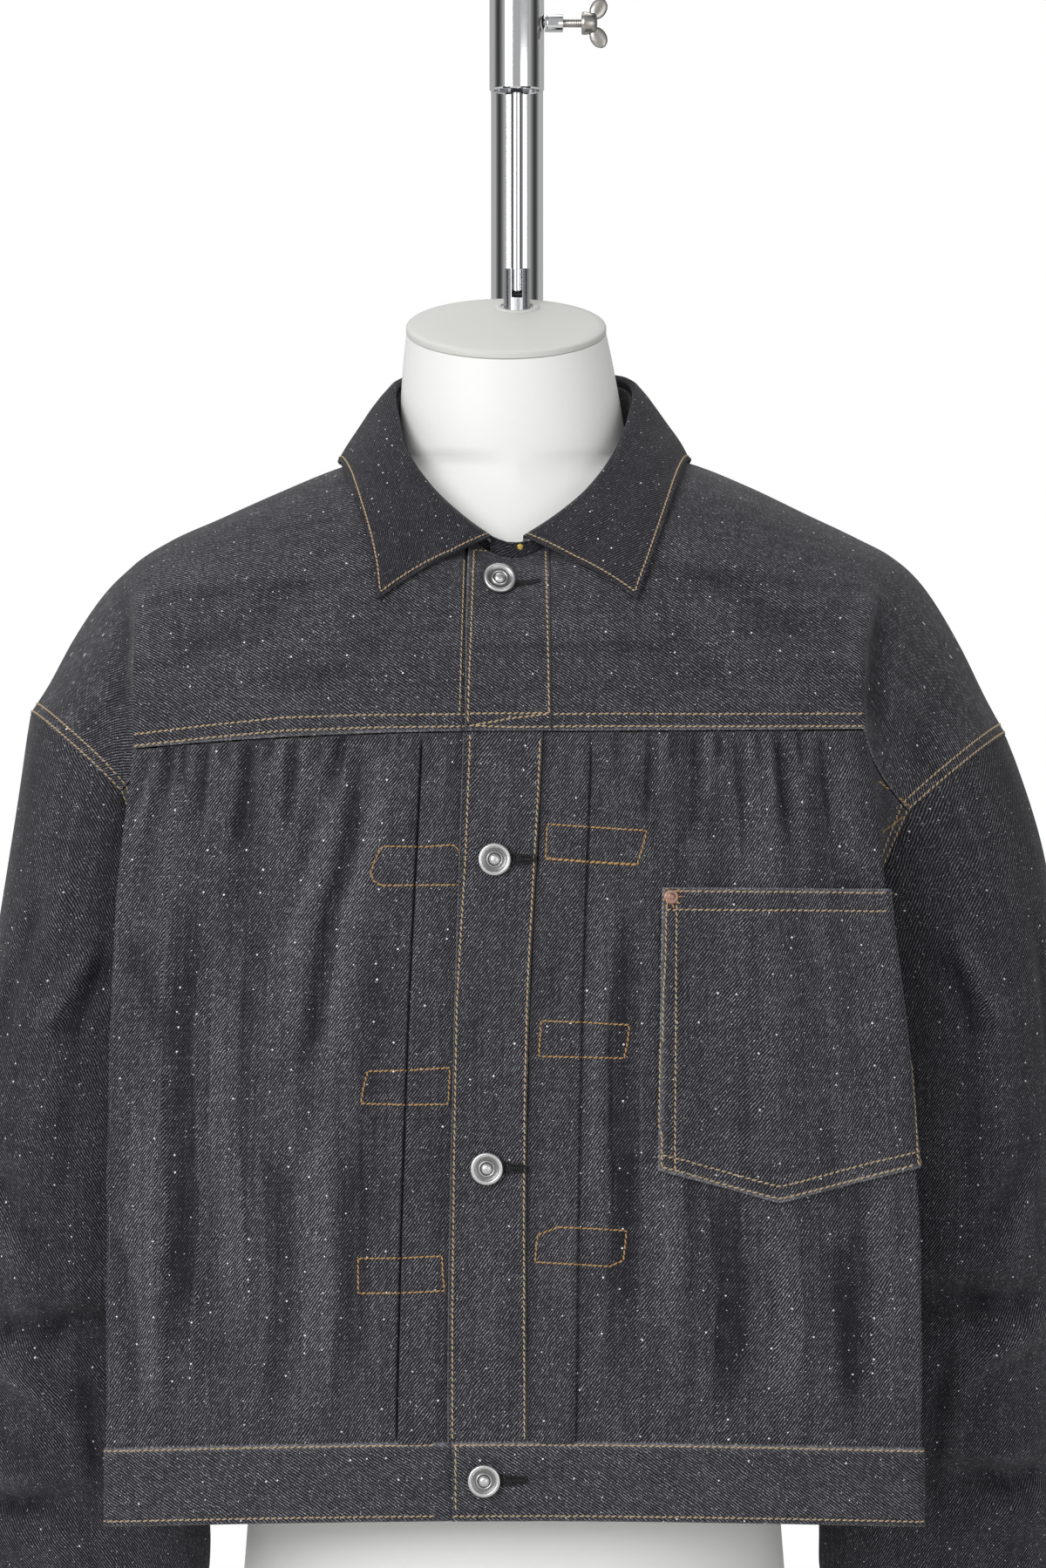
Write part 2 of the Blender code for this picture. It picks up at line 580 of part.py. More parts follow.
def make_front(side, name):
    """A lower front with its gathers and its pleat."""
    columns = spread(0.0, PLEAT_AT, 4)[:-1] + [PLEAT_AT - 0.004, PLEAT_AT + 0.004]
    columns += spread(PLEAT_AT, CREASE_AT, 31)[1:] + SIDE_COLUMNS[:-1] + [1 - 0.0005]
    rows = FRONT_ROWS[:-1] + [0.985, TOP_ROW]
    grid = grid_of(lambda a, v: front_point(side, a, v), rows, columns)
    out = np.array([[relief(side, a, v) for a in columns] for v in rows])
    if side < 0:
        lap = under_lap(lambda reach, v: front_face(placket_x("free_x", v) + reach, v), rows)
        grid, out = lapped_grid(lap, grid, out)
    return cloth(name, raised(grid, out), CLOTH)


def make_yoke(side, name):
    columns = spread(0.0, 0.26, 6) + spread(0.26, CREASE_AT, 9)[1:] + SIDE_COLUMNS
    grid = grid_of(lambda a, w: yoke_point(side, a, w), YOKE_ROWS, columns)
    out = np.zeros(grid.shape[:2])
    if side < 0:
        def lapped(reach, w):
            foot, top = (-column(PLACKET, "h", "free_x", YOKE_SEAM_H + rise) for rise in (0.0, 0.12))
            return lean_face(reach - foot, reach - top, w)

        grid, out = lapped_grid(under_lap(lapped, YOKE_ROWS), grid, out)
    return cloth(name, raised(grid, out), CLOTH)


def lean_face(foot_x, ridge_x, w):
    """A point of the yokes' face on a column that leans from one x to another, of any sign."""
    return yoke_face(1 if foot_x >= 0 else -1, abs(foot_x), abs(ridge_x), w)


def make_plackets():
    """The folded button strip of the wearer's left front, in its upper and lower parts."""
    def upper(t, w):
        foot, top = (
            mix(column(PLACKET, "h", "free_x", h), column(PLACKET, "h", "fold_x", h), t)
            for h in (YOKE_SEAM_H, YOKE_SEAM_H + 0.12)
        )
        return lean_face(foot, top, w)

    def lower(t, v):
        return front_face(mix(placket_x("free_x", v), placket_x("fold_x", v), t), v)

    widths, rows = spread(0.0, 1.0, 6), FRONT_ROWS[:-1] + [0.985, TOP_ROW]
    cloth("placket_upper", raised(grid_of(upper, YOKE_ROWS, widths), PLACKET_PROUD), PLACKET_THICKNESS)
    cloth("placket_lower", raised(grid_of(lower, rows, widths), PLACKET_PROUD), PLACKET_THICKNESS)


def make_back():
    columns = [-u for u in spread(1.0, 0.0, 12)] + spread(0.0, 1.0, 12)[1:]
    rows = FRONT_ROWS + [1 + w for w in YOKE_ROWS[1:]]
    grid = grid_of(lambda s, v: back_point(1 if s >= 0 else -1, abs(s), v), rows, columns)
    return cloth("back", grid, CLOTH, flip=True)


def armhole(side):
    """The armhole as a loop of points: from the shoulder tip down the front and up the back."""
    front = [yoke_point(side, 1.0, w) for w in YOKE_ROWS[:0:-1]]
    front += [front_point(side, 1.0, v) for v in ARM_ROWS[::-1]]
    back = [back_point(side, 1.0, v) for v in ARM_ROWS[1:]]
    back += [back_point(side, 1.0, 1 + w) for w in YOKE_ROWS[1:-1]]
    return np.array(front + back)


def sleeve_ring(side, k, turns):
    """A ring of a sleeve at row k of the table, with the creases that cross it."""
    centre_h, lean, x, y, half_width, half_depth = (
        float(smooth(range(len(SLEEVE_RINGS)), [getattr(r, n) for r in SLEEVE_RINGS], k))
        for n in Ring._fields
    )
    x += SLEEVE_SHIFT[side] * bell(k - 0.9, 1.3)
    points = []
    for turn in turns:
        out = sum(
            c.out * bell(centre_h + lean * math.cos(turn) - c.h, c.tall)
            * bell((math.degrees(turn) - c.turn + 180) % 360 - 180, c.wide)
            for c in SLEEVE_CREASES[side]
        )
        points.append((
            side * (x + (half_width + out) * math.cos(turn)),
            y - (half_depth + out) * math.sin(turn),
            centre_h + lean * math.cos(turn),
        ))
    return np.array(points)


def loop_turns(loop):
    """How far round each point of a loop lies, in radians, by its length."""
    steps = np.linalg.norm(np.roll(loop, -1, axis=0) - loop, axis=1)
    return 2 * math.pi * np.concatenate([[0], np.cumsum(steps)[:-1]]) / steps.sum()


def make_sleeve(side, name):
    loop = armhole(side)
    turns = loop_turns(loop)
    shape = loop - sleeve_ring(side, 0, turns)
    rings = [
        sleeve_ring(side, k, turns) + shape * max(1 - k / 3.0, 0.0) ** 2 for k in SLEEVE_ROWS
    ]
    away = rings[0] - loop
    first = loop + away / np.linalg.norm(away, axis=1, keepdims=True) * SEAM_BEND
    grid = np.array([first] + rings)
    return cloth(name, grid, CLOTH, wrap=True, flip=side < 0)


def cuff_point(side, turn, drop, out):
    """A point of a cuff: its turn, its share of the height from the top and its distance out."""
    end = SLEEVE_RINGS[-1]
    half_width, half_depth = (mix(top, low, drop) for top, low in zip(CUFF_TOP, CUFF_BOTTOM))
    x = side * (end.x + (half_width + out) * math.cos(turn))
    return np.array((x, end.y - (half_depth + out) * math.sin(turn), CUFF_H - CUFF_HEIGHT * drop))


def make_cuff(side, name):
    """A straight cuff that laps at the back of the wrist."""
    lap = CUFF_LAP / CUFF_TOP[0]
    turns = spread(CUFF_OPENING, CUFF_OPENING + 2 * math.pi + lap, 26)

    def out(turn):
        over = eased((turn - turns[-1] + 2 * lap) / lap)
        under = eased((turns[0] + 2 * lap - turn) / lap)
        return CUFF_STEP * (over - under)

    grid = grid_of(lambda turn, drop: cuff_point(side, turn, drop, out(turn)), (0.0, 1.0), turns)
    return cloth(name, grid, DOUBLE, flip=side < 0)


def make_waistband():
    """One strip round the waist seam. Its top end, on the wearer's left, laps over the other."""
    free, fold = placket_x("free_x", 0.0), placket_x("fold_x", 0.0)
    crease = crease_point(1, 0.0)[0]
    path = [(front_face(x, 0.0), UNDER_BAND) for x in spread(free + UNDER_REACH, free + 0.001, 4)]
    path += [(front_face(x, 0.0), BAND_PROUD) for x in spread(free - 0.003, -crease, 12)]
    path += [(front_side(-1, q, 0.0), BAND_PROUD) for q in (0.2, 0.4, 0.6, 0.8)]
    path += [(back_point(-1, u, 0.0), BAND_PROUD) for u in spread(1.0, 0.0, 10)]
    path += [(back_point(1, u, 0.0), BAND_PROUD) for u in spread(0.0, 1.0, 10)[1:]]
    path += [(front_side(1, q, 0.0), BAND_PROUD) for q in (0.8, 0.6, 0.4, 0.2)]
    path += [(front_face(x, 0.0), BAND_PROUD) for x in spread(crease, fold + 0.004, 12)]
    path += [(front_face(x, 0.0), TOP_BAND) for x in spread(fold, free + 0.001, 4)]
    line = np.array([point for point, _ in path])
    grid = np.array([line - (0, 0, SEAM + drop * BAND_HEIGHT) for drop in (0.0, 0.5, 1.0)])
    return cloth("waistband", raised(grid, [[out for _, out in path]] * 3), DOUBLE)


def shell_samples():
    """Points and normals of the upper body, which the collar has to lie on."""
    points, normals = [], []
    across, rise = spread(0.0, 1.0, 50), spread(0.0, 1.0, 28)
    for side in (-1, 1):
        front = grid_of(lambda a, w: yoke_point(side, a, w), rise, across)
        back = grid_of(lambda u, w: back_point(side, u, 1 + w), rise, across)
        for grid, turn in ((front, side), (back, -side)):
            points.append(grid.reshape(-1, 3))
            normals.append(turn * normals_of(grid).reshape(-1, 3))
    return np.concatenate(points), np.concatenate(normals)


def above(point, samples, gap):
    """The point moved out until it is this far above the body."""
    points, normals = samples
    nearest = np.argmin(((points - point) ** 2).sum(axis=1))
    height = float((point - points[nearest]) @ normals[nearest])
    return point + normals[nearest] * max(gap - height, 0.0)


def collar_station(side, k):
    """The roll and the outer edge at row k of the table. The front ends sit a little to the right."""
    values = [
        float(smooth(range(len(COLLAR)), [getattr(r, n) for r in COLLAR], k))
        for n in CollarStation._fields
    ]
    shift = COLLAR_SHIFT * (1 - eased(k / 2.5 if side > 0 else k / 2.5 - 1.0))
    roll = np.array((side * values[0] + shift, values[1], values[2]))
    edge = np.array((side * values[3], values[4], values[5]))
    return roll, edge


def make_collar(samples):
    """The turned-down collar: a short inner leaf, the roll and the fall."""
    ks = [0.0, 0.5, 1.1, 1.8, 2.5, 3.2, 4.0, 4.8, 5.5, 6.2, 7.0, 8.0]
    stations = [(-1, k) for k in ks] + [(1, k) for k in ks[-2::-1]]
    lines = []
    for side, k in stations:
        roll, edge = collar_station(side, k)
        inward = np.array((-roll[0], -roll[1], 0.0))
        inward /= np.linalg.norm(inward)
        bulge = (roll + edge) / 2 + (0, 0, COLLAR_BULGE) - inward * COLLAR_BULGE
        line = [roll + inward * 0.0034 - (0, 0, 0.0042), roll + inward * 0.0016]
        for t in (0.08, 0.25, 0.45, 0.65, 0.85, 1.0):
            point = roll * (1 - t) ** 2 + bulge * 2 * t * (1 - t) + edge * t * t
            line.append(above(point, samples, DOUBLE + COLLAR_GAP))
        lines.append(line)
    grid = np.array(lines).transpose(1, 0, 2)
    return cloth("collar", grid, DOUBLE)


def neckline_point(x, back):
    """The point of the neckline at this distance from the centre."""
    side = 1 if x >= 0 else -1
    if back:
        tops = np.abs([back_point(side, u, 2.0) for u in spread(0.0, 0.6, 40)])
        y, h = (np.interp(abs(x), tops[:, 0], tops[:, i]) for i in (1, 2))
        return np.array((x, y, h))
    foot, ridge = front_face(x, 1.0), ridge_point(side, abs(x))
    return over_shoulder(foot, ridge, last_turn(foot, ridge, False), 0.0)


def neckband_station(side, k):
    """The lower and upper edge of the neckband under row k of the collar's table."""
    roll, _ = collar_station(side, k)
    inward = np.array((-roll[0], -roll[1], 0.0)) / math.hypot(roll[0], roll[1])
    back = roll[1] > RIDGE_Y
    depth = NECK_BACK_DEPTH if back else NECK_FRONT_DEPTH
    turn = math.atan2(abs(roll[0]) / NECK_HALF_WIDTH, abs(roll[1] - RIDGE_Y) / depth)
    bottom = neckline_point(math.copysign(NECK_HALF_WIDTH * math.sin(turn), roll[0]), back)
    return bottom + (0, 0, NECKBAND_GAP), roll + inward * NECKBAND_IN - (0, 0, NECKBAND_DOWN)


def neckband_end(x):
    bottom = neckline_point(x, False) + (0, 0, NECKBAND_GAP)
    return bottom, bottom + (0, -0.0008, NECKBAND_END_HEIGHT)


def make_neckband():
    """The collar's stand, on the neckline. Its end on the wearer's left laps over the other."""
    ks = [0.6, 1.2, 1.8, 2.5, 3.2, 4.0, 4.8, 5.5, 6.2, 7.0, 8.0]
    edges = [neckband_end(0.004), neckband_end(NECKBAND_LAP_X - 0.003)]
    edges += [neckband_station(-1, k) for k in ks] + [neckband_station(1, k) for k in ks[-2::-1]]
    edges += [neckband_end(0.008), neckband_end(NECKBAND_LAP_X)]
    bottoms, tops = (np.array([edge[i] for edge in edges]) for i in (0, 1))
    grid = np.array([bottoms, (bottoms + tops) / 2, tops])
    out = np.zeros(grid.shape[:2])
    out[:, :2] = DOUBLE + SEAM + 0.0003
    return cloth("neckband", raised(grid, out), DOUBLE, flip=True)


# Pocket and hardware ------------------------------------------------------------------------


def level_of(h):
    return (h - WAIST_SEAM_H) / (YOKE_SEAM_H - WAIST_SEAM_H)


def pocket_point(c, r):
    """A point of the pocket: c runs across to 1 at the side crease and on round it, r upwards."""
    low = np.interp(c, POCKET_ACROSS, POCKET_LOW_H)
    v = level_of(mix(low, POCKET_TOP_H, r))
    if c > 1.0:
        return front_side(1, (c - 1.0) * mix(POCKET_WRAP_LOW, POCKET_WRAP_TOP, r), v)
    crease_x = crease_point(1, v)[0]
    return front_face(mix(mix(POCKET_X[0], POCKET_X[1], r), crease_x, c), v)


def pocket_relief(c, r):
    v = level_of(mix(np.interp(c, POCKET_ACROSS, POCKET_LOW_H), POCKET_TOP_H, r))
    if c >= 1.0:
        return 0.0
    x, pleat = pocket_point(c, r)[0], placket_x("left_pleat_x", v)
    across = (x - pleat) / (crease_point(1, v)[0] - pleat)
    return relief(1, mix(PLEAT_AT, CREASE_AT, across), v)


def make_pocket():
    across, up = spread(0.0, 1.0, 14) + [1.5, 2.0], spread(0.0, 1.0, 8)
    grid = grid_of(pocket_point, up, across)
    out = np.array([[pocket_relief(c, r) for c in across] for r in up]) + CLOTH + POCKET_GAP
    grid = raised(grid, out)
    cloth("pocket", grid, CLOTH)
    return grid


def turned(name, profile, steps, finish, matrix):
    """A turned piece from its outer profile, given from the top down as (radius, height)."""
    mesh = bpy.data.meshes.new(name)
    edges = [(i, i + 1) for i in range(len(profile) - 1)]
    closed = profile[0][0] > 0
    if closed:
        edges.append((len(profile) - 1, 0))
    mesh.from_pydata([(r, 0, z) for r, z in profile], edges, [])
    mesh.materials.append(material(finish))
    solid = bpy.data.objects.new(name, mesh)
    screw = solid.modifiers.new("turn", "SCREW")
    screw.steps = screw.render_steps = steps
    screw.use_merge_vertices, screw.merge_threshold = True, 0.00005
    solid.matrix_world = matrix
    PARTS.objects.link(solid)
    return solid


def facing(point, normal):
    """A placing whose Z axis points along the normal."""
    turn = Vector(normal).to_track_quat("Z", "Y").to_matrix().to_4x4()
    return Matrix.Translation(Vector(point) + Vector((0, 0, CHEST))) @ turn


BUTTON_PROFILE = (
    (0.0, 0.0050), (0.0034, 0.0043), (0.0046, 0.0032), (0.0064, 0.0034), (0.0086, 0.0040),
    (0.0097, 0.0028), (0.0086, 0.0016), (0.0034, 0.0014), (0.0034, 0.0), (0.0, 0.0),
)
RIVET_PROFILE = (
    (0.0, 0.0018), (0.0018, 0.0014), (0.0034, 0.0012), (0.0045, 0.0005), (0.0045, 0.0), (0.0, 0.0),
)


def button_seats():
    """The point and the normal under each of the four front buttons, from the top down."""
    top_x, top_h = BUTTON_SEATS[0]
    rises = spread(0.0, 1.0, 60)
    heights = [lean_face(top_x, top_x, w)[2] for w in rises]
    top_w = float(np.interp(top_h, heights, rises))
    seats = [seat_on(lambda dx, dw: lean_face(top_x + dx, top_x + dx, top_w + dw), PLACKET_PROUD)]
    for x, h in BUTTON_SEATS[1:3]:
        seats.append(seat_on(lambda dx, dv: front_face(x + dx, level_of(h) + dv), PLACKET_PROUD))
    x, h = BUTTON_SEATS[3]
    down = h - WAIST_SEAM_H
    seats.append(seat_on(lambda dx, dv: front_face(x + dx, 0.0) + (0, 0, down + dv), TOP_BAND))
    return seats


def seat_on(face, proud):
    """A point at this distance above a face, which is read near it, and the face's normal."""
    near = np.array([[face(dx, dv) for dx in (-0.004, 0.0, 0.004)] for dv in (-0.02, 0.0, 0.02)])
    normal = normals_of(near)[1, 1]
    return near[1, 1] + normal * (proud + REST), normal


def cuff_seat(side):
    """The point and the normal under a cuff's button, in the middle of its lap."""
    turn = CUFF_OPENING + CUFF_LAP / CUFF_TOP[0] / 2
    point = cuff_point(side, turn, 0.5, CUFF_STEP + REST)
    normal = np.array((side * math.cos(turn) / CUFF_TOP[0], -math.sin(turn) / CUFF_TOP[1], 0.0))
    return point, normal / np.linalg.norm(normal)


def make_buttons():
    seats = {f"button_{i + 1}": seat for i, seat in enumerate(button_seats())}
    seats["cuff_button_right"], seats["cuff_button_left"] = cuff_seat(-1), cuff_seat(1)
    for name, (point, normal) in seats.items():
        turned(name, BUTTON_PROFILE, 12, "button_metal", facing(point, normal))


def make_rivets(pocket):
    for name, j, inner in (("rivet_inner", 0, 1), ("rivet_outer", -1, -2)):
        corner = pocket[-1, j]
        ways = (pocket[-1, inner] - corner, pocket[-2, j] - corner)
        along, down = (way / np.linalg.norm(way) for way in ways)
        normal = np.cross(along, down) * (-1 if j == 0 else 1)
        normal /= np.linalg.norm(normal)
        spot = corner + (along + down) * RIVET_INSET + normal * (REST + 0.0002)
        turned(name, RIVET_PROFILE, 10, "copper", facing(spot, normal))


# The dress form -----------------------------------------------------------------------------


def form_ring(level, steps=24):
    centre, slope = (level.front_y + level.back_y) / 2, math.tan(math.radians(level.tilt))
    points = []
    for i in range(steps):
        turn = 2 * math.pi * i / steps
        c, s = (math.copysign(abs(t) ** (2 / level.power), t) for t in (math.cos(turn), math.sin(turn)))
        y = centre + (level.back_y - level.front_y) / 2 * s
        points.append((level.x + level.half_width * c, y, level.h + (y - centre) * slope))
    return points


def make_form():
    """The smooth torso, closed at the waist and at the neck."""
    rings = np.array([form_ring(level) for level in FORM])
    rows, steps = rings.shape[:2]
    faces = [tuple(range(steps))[::-1], tuple(range((rows - 1) * steps, rows * steps))]
    for i in range(rows - 1):
        for j in range(steps):
            k = (j + 1) % steps
            faces.append((i * steps + j, i * steps + k, (i + 1) * steps + k, (i + 1) * steps + j))
    mesh = bpy.data.meshes.new("dress_form")
    mesh.from_pydata([tuple(p + (0, 0, CHEST)) for p in rings.reshape(-1, 3)], [], faces)
    mesh.materials.append(material("form_white"))
    mesh.shade_smooth()
    PARTS.objects.link(bpy.data.objects.new("dress_form", mesh))


def cap_place(up):
    """The frame of the neck's slanted end, this far above the form."""
    tilt = Matrix.Rotation(NECK_CAP_TILT, 4, "X")
    normal = tilt @ Vector((0, 0, 1))
    return Matrix.Translation(Vector(NECK_CAP_CENTRE) + Vector((0, 0, CHEST)) + normal * up) @ tilt


def make_neck_cap():
    profile = (
        (0.0, 0.0), (NECK_CAP_RADIUS - 0.0012, 0.0), (NECK_CAP_RADIUS, -0.0012),
        (NECK_CAP_RADIUS, -NECK_CAP_THICKNESS), (0.0, -NECK_CAP_THICKNESS),
    )
    turned("neck_cap", profile, 32, "cap_grey", cap_place(0.0))


# The stand ----------------------------------------------------------------------------------


def linked(name, collection, finish=None):
    """The active object, renamed, with its material, moved to a collection."""
    made = bpy.context.object
    made.name = made.data.name = name
    for other in list(made.users_collection):
        other.objects.unlink(made)
    collection.objects.link(made)
    if finish:
        made.data.materials.append(material(finish))
    else:
        made.hide_render, made.display_type = True, "WIRE"
    return made


def cylinder(name, radius, length, centre, axis="Z", finish=None, sides=24):
    turn = {"X": (0, math.pi / 2, 0), "Y": (math.pi / 2, 0, 0), "Z": (0, 0, 0)}[axis]
    bpy.ops.mesh.primitive_cylinder_add(
        vertices=sides, radius=radius, depth=length, location=centre, rotation=turn
    )
    return linked(name, PARTS if finish else CUTTERS, finish)


def box(name, sizes, centre, finish=None):
    bpy.ops.mesh.primitive_cube_add(size=1.0, location=centre)
    made = linked(name, PARTS if finish else CUTTERS, finish)
    made.data.transform(Matrix.Diagonal((*sizes, 1.0)))
    return made


def boolean(target, other, operation="DIFFERENCE"):
    step = target.modifiers.new(other.name, "BOOLEAN")
    step.operation, step.object = operation, other


def make_cane():
    """One bent tube: the post behind the form, the bend over it and the short front leg."""
    centre_y, radius = (POST_Y + ROD_Y) / 2, (POST_Y - ROD_Y) / 2
    path = [(POST_Y, BASE_THICKNESS + REST)]
    for i in range(13):
        turn = math.pi * i / 12
        path.append((centre_y + radius * math.cos(turn), CHEST + BEND_H + radius * math.sin(turn)))
    path.append((ROD_Y, CHEST + LEG_END_H))
    curve = bpy.data.curves.new("cane", "CURVE")
    curve.dimensions, curve.bevel_depth, curve.bevel_resolution = "3D", TUBE_RADIUS, 4
    curve.use_fill_caps = True
    spline = curve.splines.new("POLY")
    spline.points.add(len(path) - 1)
    for point, (y, z) in zip(spline.points, path):
        point.co = (STAND_X, y, z, 1.0)
    wire = bpy.data.objects.new("cane_line", curve)
    PARTS.objects.link(wire)
    graph = bpy.context.evaluated_depsgraph_get()
    mesh = bpy.data.meshes.new_from_object(wire.evaluated_get(graph))
    bpy.data.objects.remove(wire, do_unlink=True)
    shape = bmesh.new()
    shape.from_mesh(mesh)
    bmesh.ops.remove_doubles(shape, verts=shape.verts, dist=0.0001)
    bmesh.ops.recalc_face_normals(shape, faces=shape.faces)
    shape.to_mesh(mesh)
    shape.free()
    mesh.materials.clear()
    mesh.materials.append(material("chrome"))
    mesh.shade_smooth()
    cane = bpy.data.objects.new("cane_tube", mesh)
    PARTS.objects.link(cane)
    depth = BORE_TOP_H - LEG_END_H
    middle = (STAND_X, ROD_Y, CHEST + LEG_END_H + depth / 2 - 0.005)
    bore = cylinder("bore", TUBE_BORE, depth + 0.010, middle)
    side = (STAND_X + TUBE_RADIUS, ROD_Y, CHEST + SCREW_H)
    hole = cylinder("screw_hole", SHANK_RADIUS + 0.0004, 0.030, side, "X", sides=16)
    boolean(cane, bore)
    boolean(cane, hole)


def make_stand():
    centre = (0, BASE_CENTRE_Y, BASE_THICKNESS / 2)
    base = cylinder("base_plate", BASE_RADIUS, BASE_THICKNESS, centre, finish="chrome", sides=40)
    edge = base.modifiers.new("edge", "BEVEL")
    edge.width, edge.segments, edge.limit_method = 0.002, 1, "ANGLE"
    make_cane()
    foot = Matrix.Translation((STAND_X, POST_Y, BASE_THICKNESS + REST))
    inner = TUBE_RADIUS + REST
    profile = ((inner, 0.022), (0.0225, 0.022), (0.0300, 0.004), (0.0300, 0.0), (inner, 0.0))
    turned("post_collar", profile, 24, "chrome", foot)
    boss = Matrix.Translation((STAND_X + TUBE_RADIUS + REST, ROD_Y, CHEST + SCREW_H))
    hole = SHANK_RADIUS + 0.0004
    profile = ((hole, 0.0115), (0.0050, 0.0115), (0.0056, 0.0108), (0.0056, 0.0), (hole, 0.0))
    turned("screw_boss", profile, 16, "chrome", boss @ Matrix.Rotation(math.pi / 2, 4, "Y"))


def make_wing_screw():
    """The clamp screw: a shank, a hub and two wings, in one piece on its own axis."""
    start = STAND_X + PLUG_RADIUS + REST
    profile = (
        (0.0, 0.0514 - start), (0.0060, 0.0510 - start), (0.0072, 0.0440 - start),
        (0.0066, 0.0417 - start), (SHANK_RADIUS, 0.0417 - start), (SHANK_RADIUS, 0.0), (0.0, 0.0),
    )
    place = Matrix.Translation((start, ROD_Y, CHEST + SCREW_H)) @ Matrix.Rotation(math.pi / 2, 4, "Y")
    screw = turned("wing_screw", profile, 16, "steel", place)
    for i, (lean, reach) in enumerate(((28, 0.0085), (152, 0.0085))):
        bpy.ops.mesh.primitive_uv_sphere_add(segments=10, ring_count=6, radius=1.0)
        wing = linked(f"wing_{i}", CUTTERS)
        turn = Matrix.Rotation(math.radians(lean), 4, "Y")
        middle = Vector((0.0475, ROD_Y, CHEST + SCREW_H)) + turn @ Vector((0, 0, reach))
        sizes = Matrix.Diagonal((0.0052, 0.0016, 0.0088, 1.0))
        wing.data.transform(Matrix.Translation(middle) @ turn @ sizes)
        boolean(screw, wing, "UNION")


def make_hanger():
    """The plug that slides in the tube, the rod that turns in it, and the socket on the neck."""
    plug_place = Matrix.Translation((STAND_X, ROD_Y, CHEST + PLUG_BOTTOM_H))
    hole, length = ROD_RADIUS + 0.0004, PLUG_TOP_H - PLUG_BOTTOM_H
    profile = ((hole, length), (PLUG_RADIUS, length), (PLUG_RADIUS, 0.0), (hole, 0.0))
    turned("slide_plug", profile, 24, "steel", plug_place)
    rod_place = Matrix.Translation((STAND_X, ROD_Y, CHEST + ROD_END_H))
    head = PLUG_TOP_H + REST - ROD_END_H
    profile = (
        (0.0, head + 0.005), (ROD_HEAD_RADIUS, head + 0.005), (ROD_HEAD_RADIUS, head),
        (ROD_RADIUS, head), (ROD_RADIUS, 0.0), (0.0, 0.0),
    )
    turned("hanger_rod", profile, 16, "chrome", rod_place)
    foot_h = NECK_CAP_CENTRE[2] + math.tan(NECK_CAP_TILT) * (ROD_Y - NECK_CAP_CENTRE[1])
    low = foot_h - 0.008
    middle = (STAND_X, ROD_Y, CHEST + (SOCKET_TOP_H + low) / 2)
    socket = cylinder("socket", SOCKET_RADIUS, SOCKET_TOP_H - low, middle, finish="steel", sides=28)
    slant = box("slant", (0.08, 0.08, 0.04), (0, 0, 0))
    shift = Matrix.Translation((0, ROD_Y / math.cos(NECK_CAP_TILT), -0.02))
    slant.matrix_world = cap_place(REST) @ shift
    boolean(socket, slant)
    slot_h = ROD_END_H - SLOT_BELOW_ROD
    slot = box("slot", (SLOT_WIDTH, 0.02, 0.04), (STAND_X, ROD_Y - 0.01, CHEST + slot_h + 0.02))
    boolean(socket, slot)
    middle = (STAND_X, ROD_Y, CHEST + slot_h + 0.02)
    boolean(socket, cylinder("socket_bore", ROD_RADIUS + 0.0004, 0.04, middle, sides=20))
    middle = (STAND_X, ROD_Y, CHEST + ROD_END_H - REST - PIN_RADIUS)
    cylinder("cross_pin", PIN_RADIUS, 2 * (ROD_RADIUS + 0.0001), middle, "X", "dark_steel", 12)


def main():
    clear_scene()
    make_front(-1, "front_right")
    make_front(1, "front_left")
    make_yoke(-1, "yoke_right")
    make_yoke(1, "yoke_left")
    make_plackets()
    make_back()
    make_sleeve(-1, "sleeve_right")
    make_sleeve(1, "sleeve_left")
    make_cuff(-1, "cuff_right")
    make_cuff(1, "cuff_left")
    make_waistband()
    make_collar(shell_samples())
    make_neckband()
    pocket = make_pocket()
    make_rivets(pocket)
    make_buttons()
    make_form()
    make_neck_cap()
    make_stand()
    make_wing_screw()
    make_hanger()


PARTS = new_collection("denim_jacket")
CUTTERS = new_collection("cutters", hidden=True)
main()
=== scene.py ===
import math
import bpy
import numpy as np
from mathutils import Matrix, Vector
from mathutils.bvhtree import BVHTree


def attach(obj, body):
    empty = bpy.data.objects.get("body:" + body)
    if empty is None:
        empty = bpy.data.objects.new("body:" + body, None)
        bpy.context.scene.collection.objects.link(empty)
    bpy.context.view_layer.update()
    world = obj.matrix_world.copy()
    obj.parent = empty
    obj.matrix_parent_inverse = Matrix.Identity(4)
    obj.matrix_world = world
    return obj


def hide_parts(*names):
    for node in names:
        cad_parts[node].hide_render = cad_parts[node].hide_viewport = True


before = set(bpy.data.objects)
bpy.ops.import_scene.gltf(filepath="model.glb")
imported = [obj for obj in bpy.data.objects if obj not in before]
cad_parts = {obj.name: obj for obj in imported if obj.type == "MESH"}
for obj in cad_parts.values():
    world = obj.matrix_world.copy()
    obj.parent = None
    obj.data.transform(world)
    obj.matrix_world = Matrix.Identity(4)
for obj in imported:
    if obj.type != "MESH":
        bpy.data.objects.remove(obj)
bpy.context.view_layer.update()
print("frame loaded")

# The jacket's own sizes, in metres. Heights called h count from the chest line, and a side is
# -1 for the wearer's right (towards -X) and 1 for the left.
chest = 0.7
waistSeamH, yokeSeamH, bandHeight = -0.3857, 0.0317, 0.0444
panelHeight, stripRise = yokeSeamH - waistSeamH, 0.12
ridgeY, neckHalfWidth, neckFront, neckBack = 0.006, 0.078, 0.093, 0.06
shoulderTip, shoulderLean, leanFrom = 0.3, 0.0023, 0.24
pleatAt, creaseAt, pleatDepth, armholeV = 0.22, 0.8, 0.0022, 0.55
cloth, double, edgeRound = 0.0016, 0.0021, 0.32
seam, seamBend = 0.0004, 0.0012

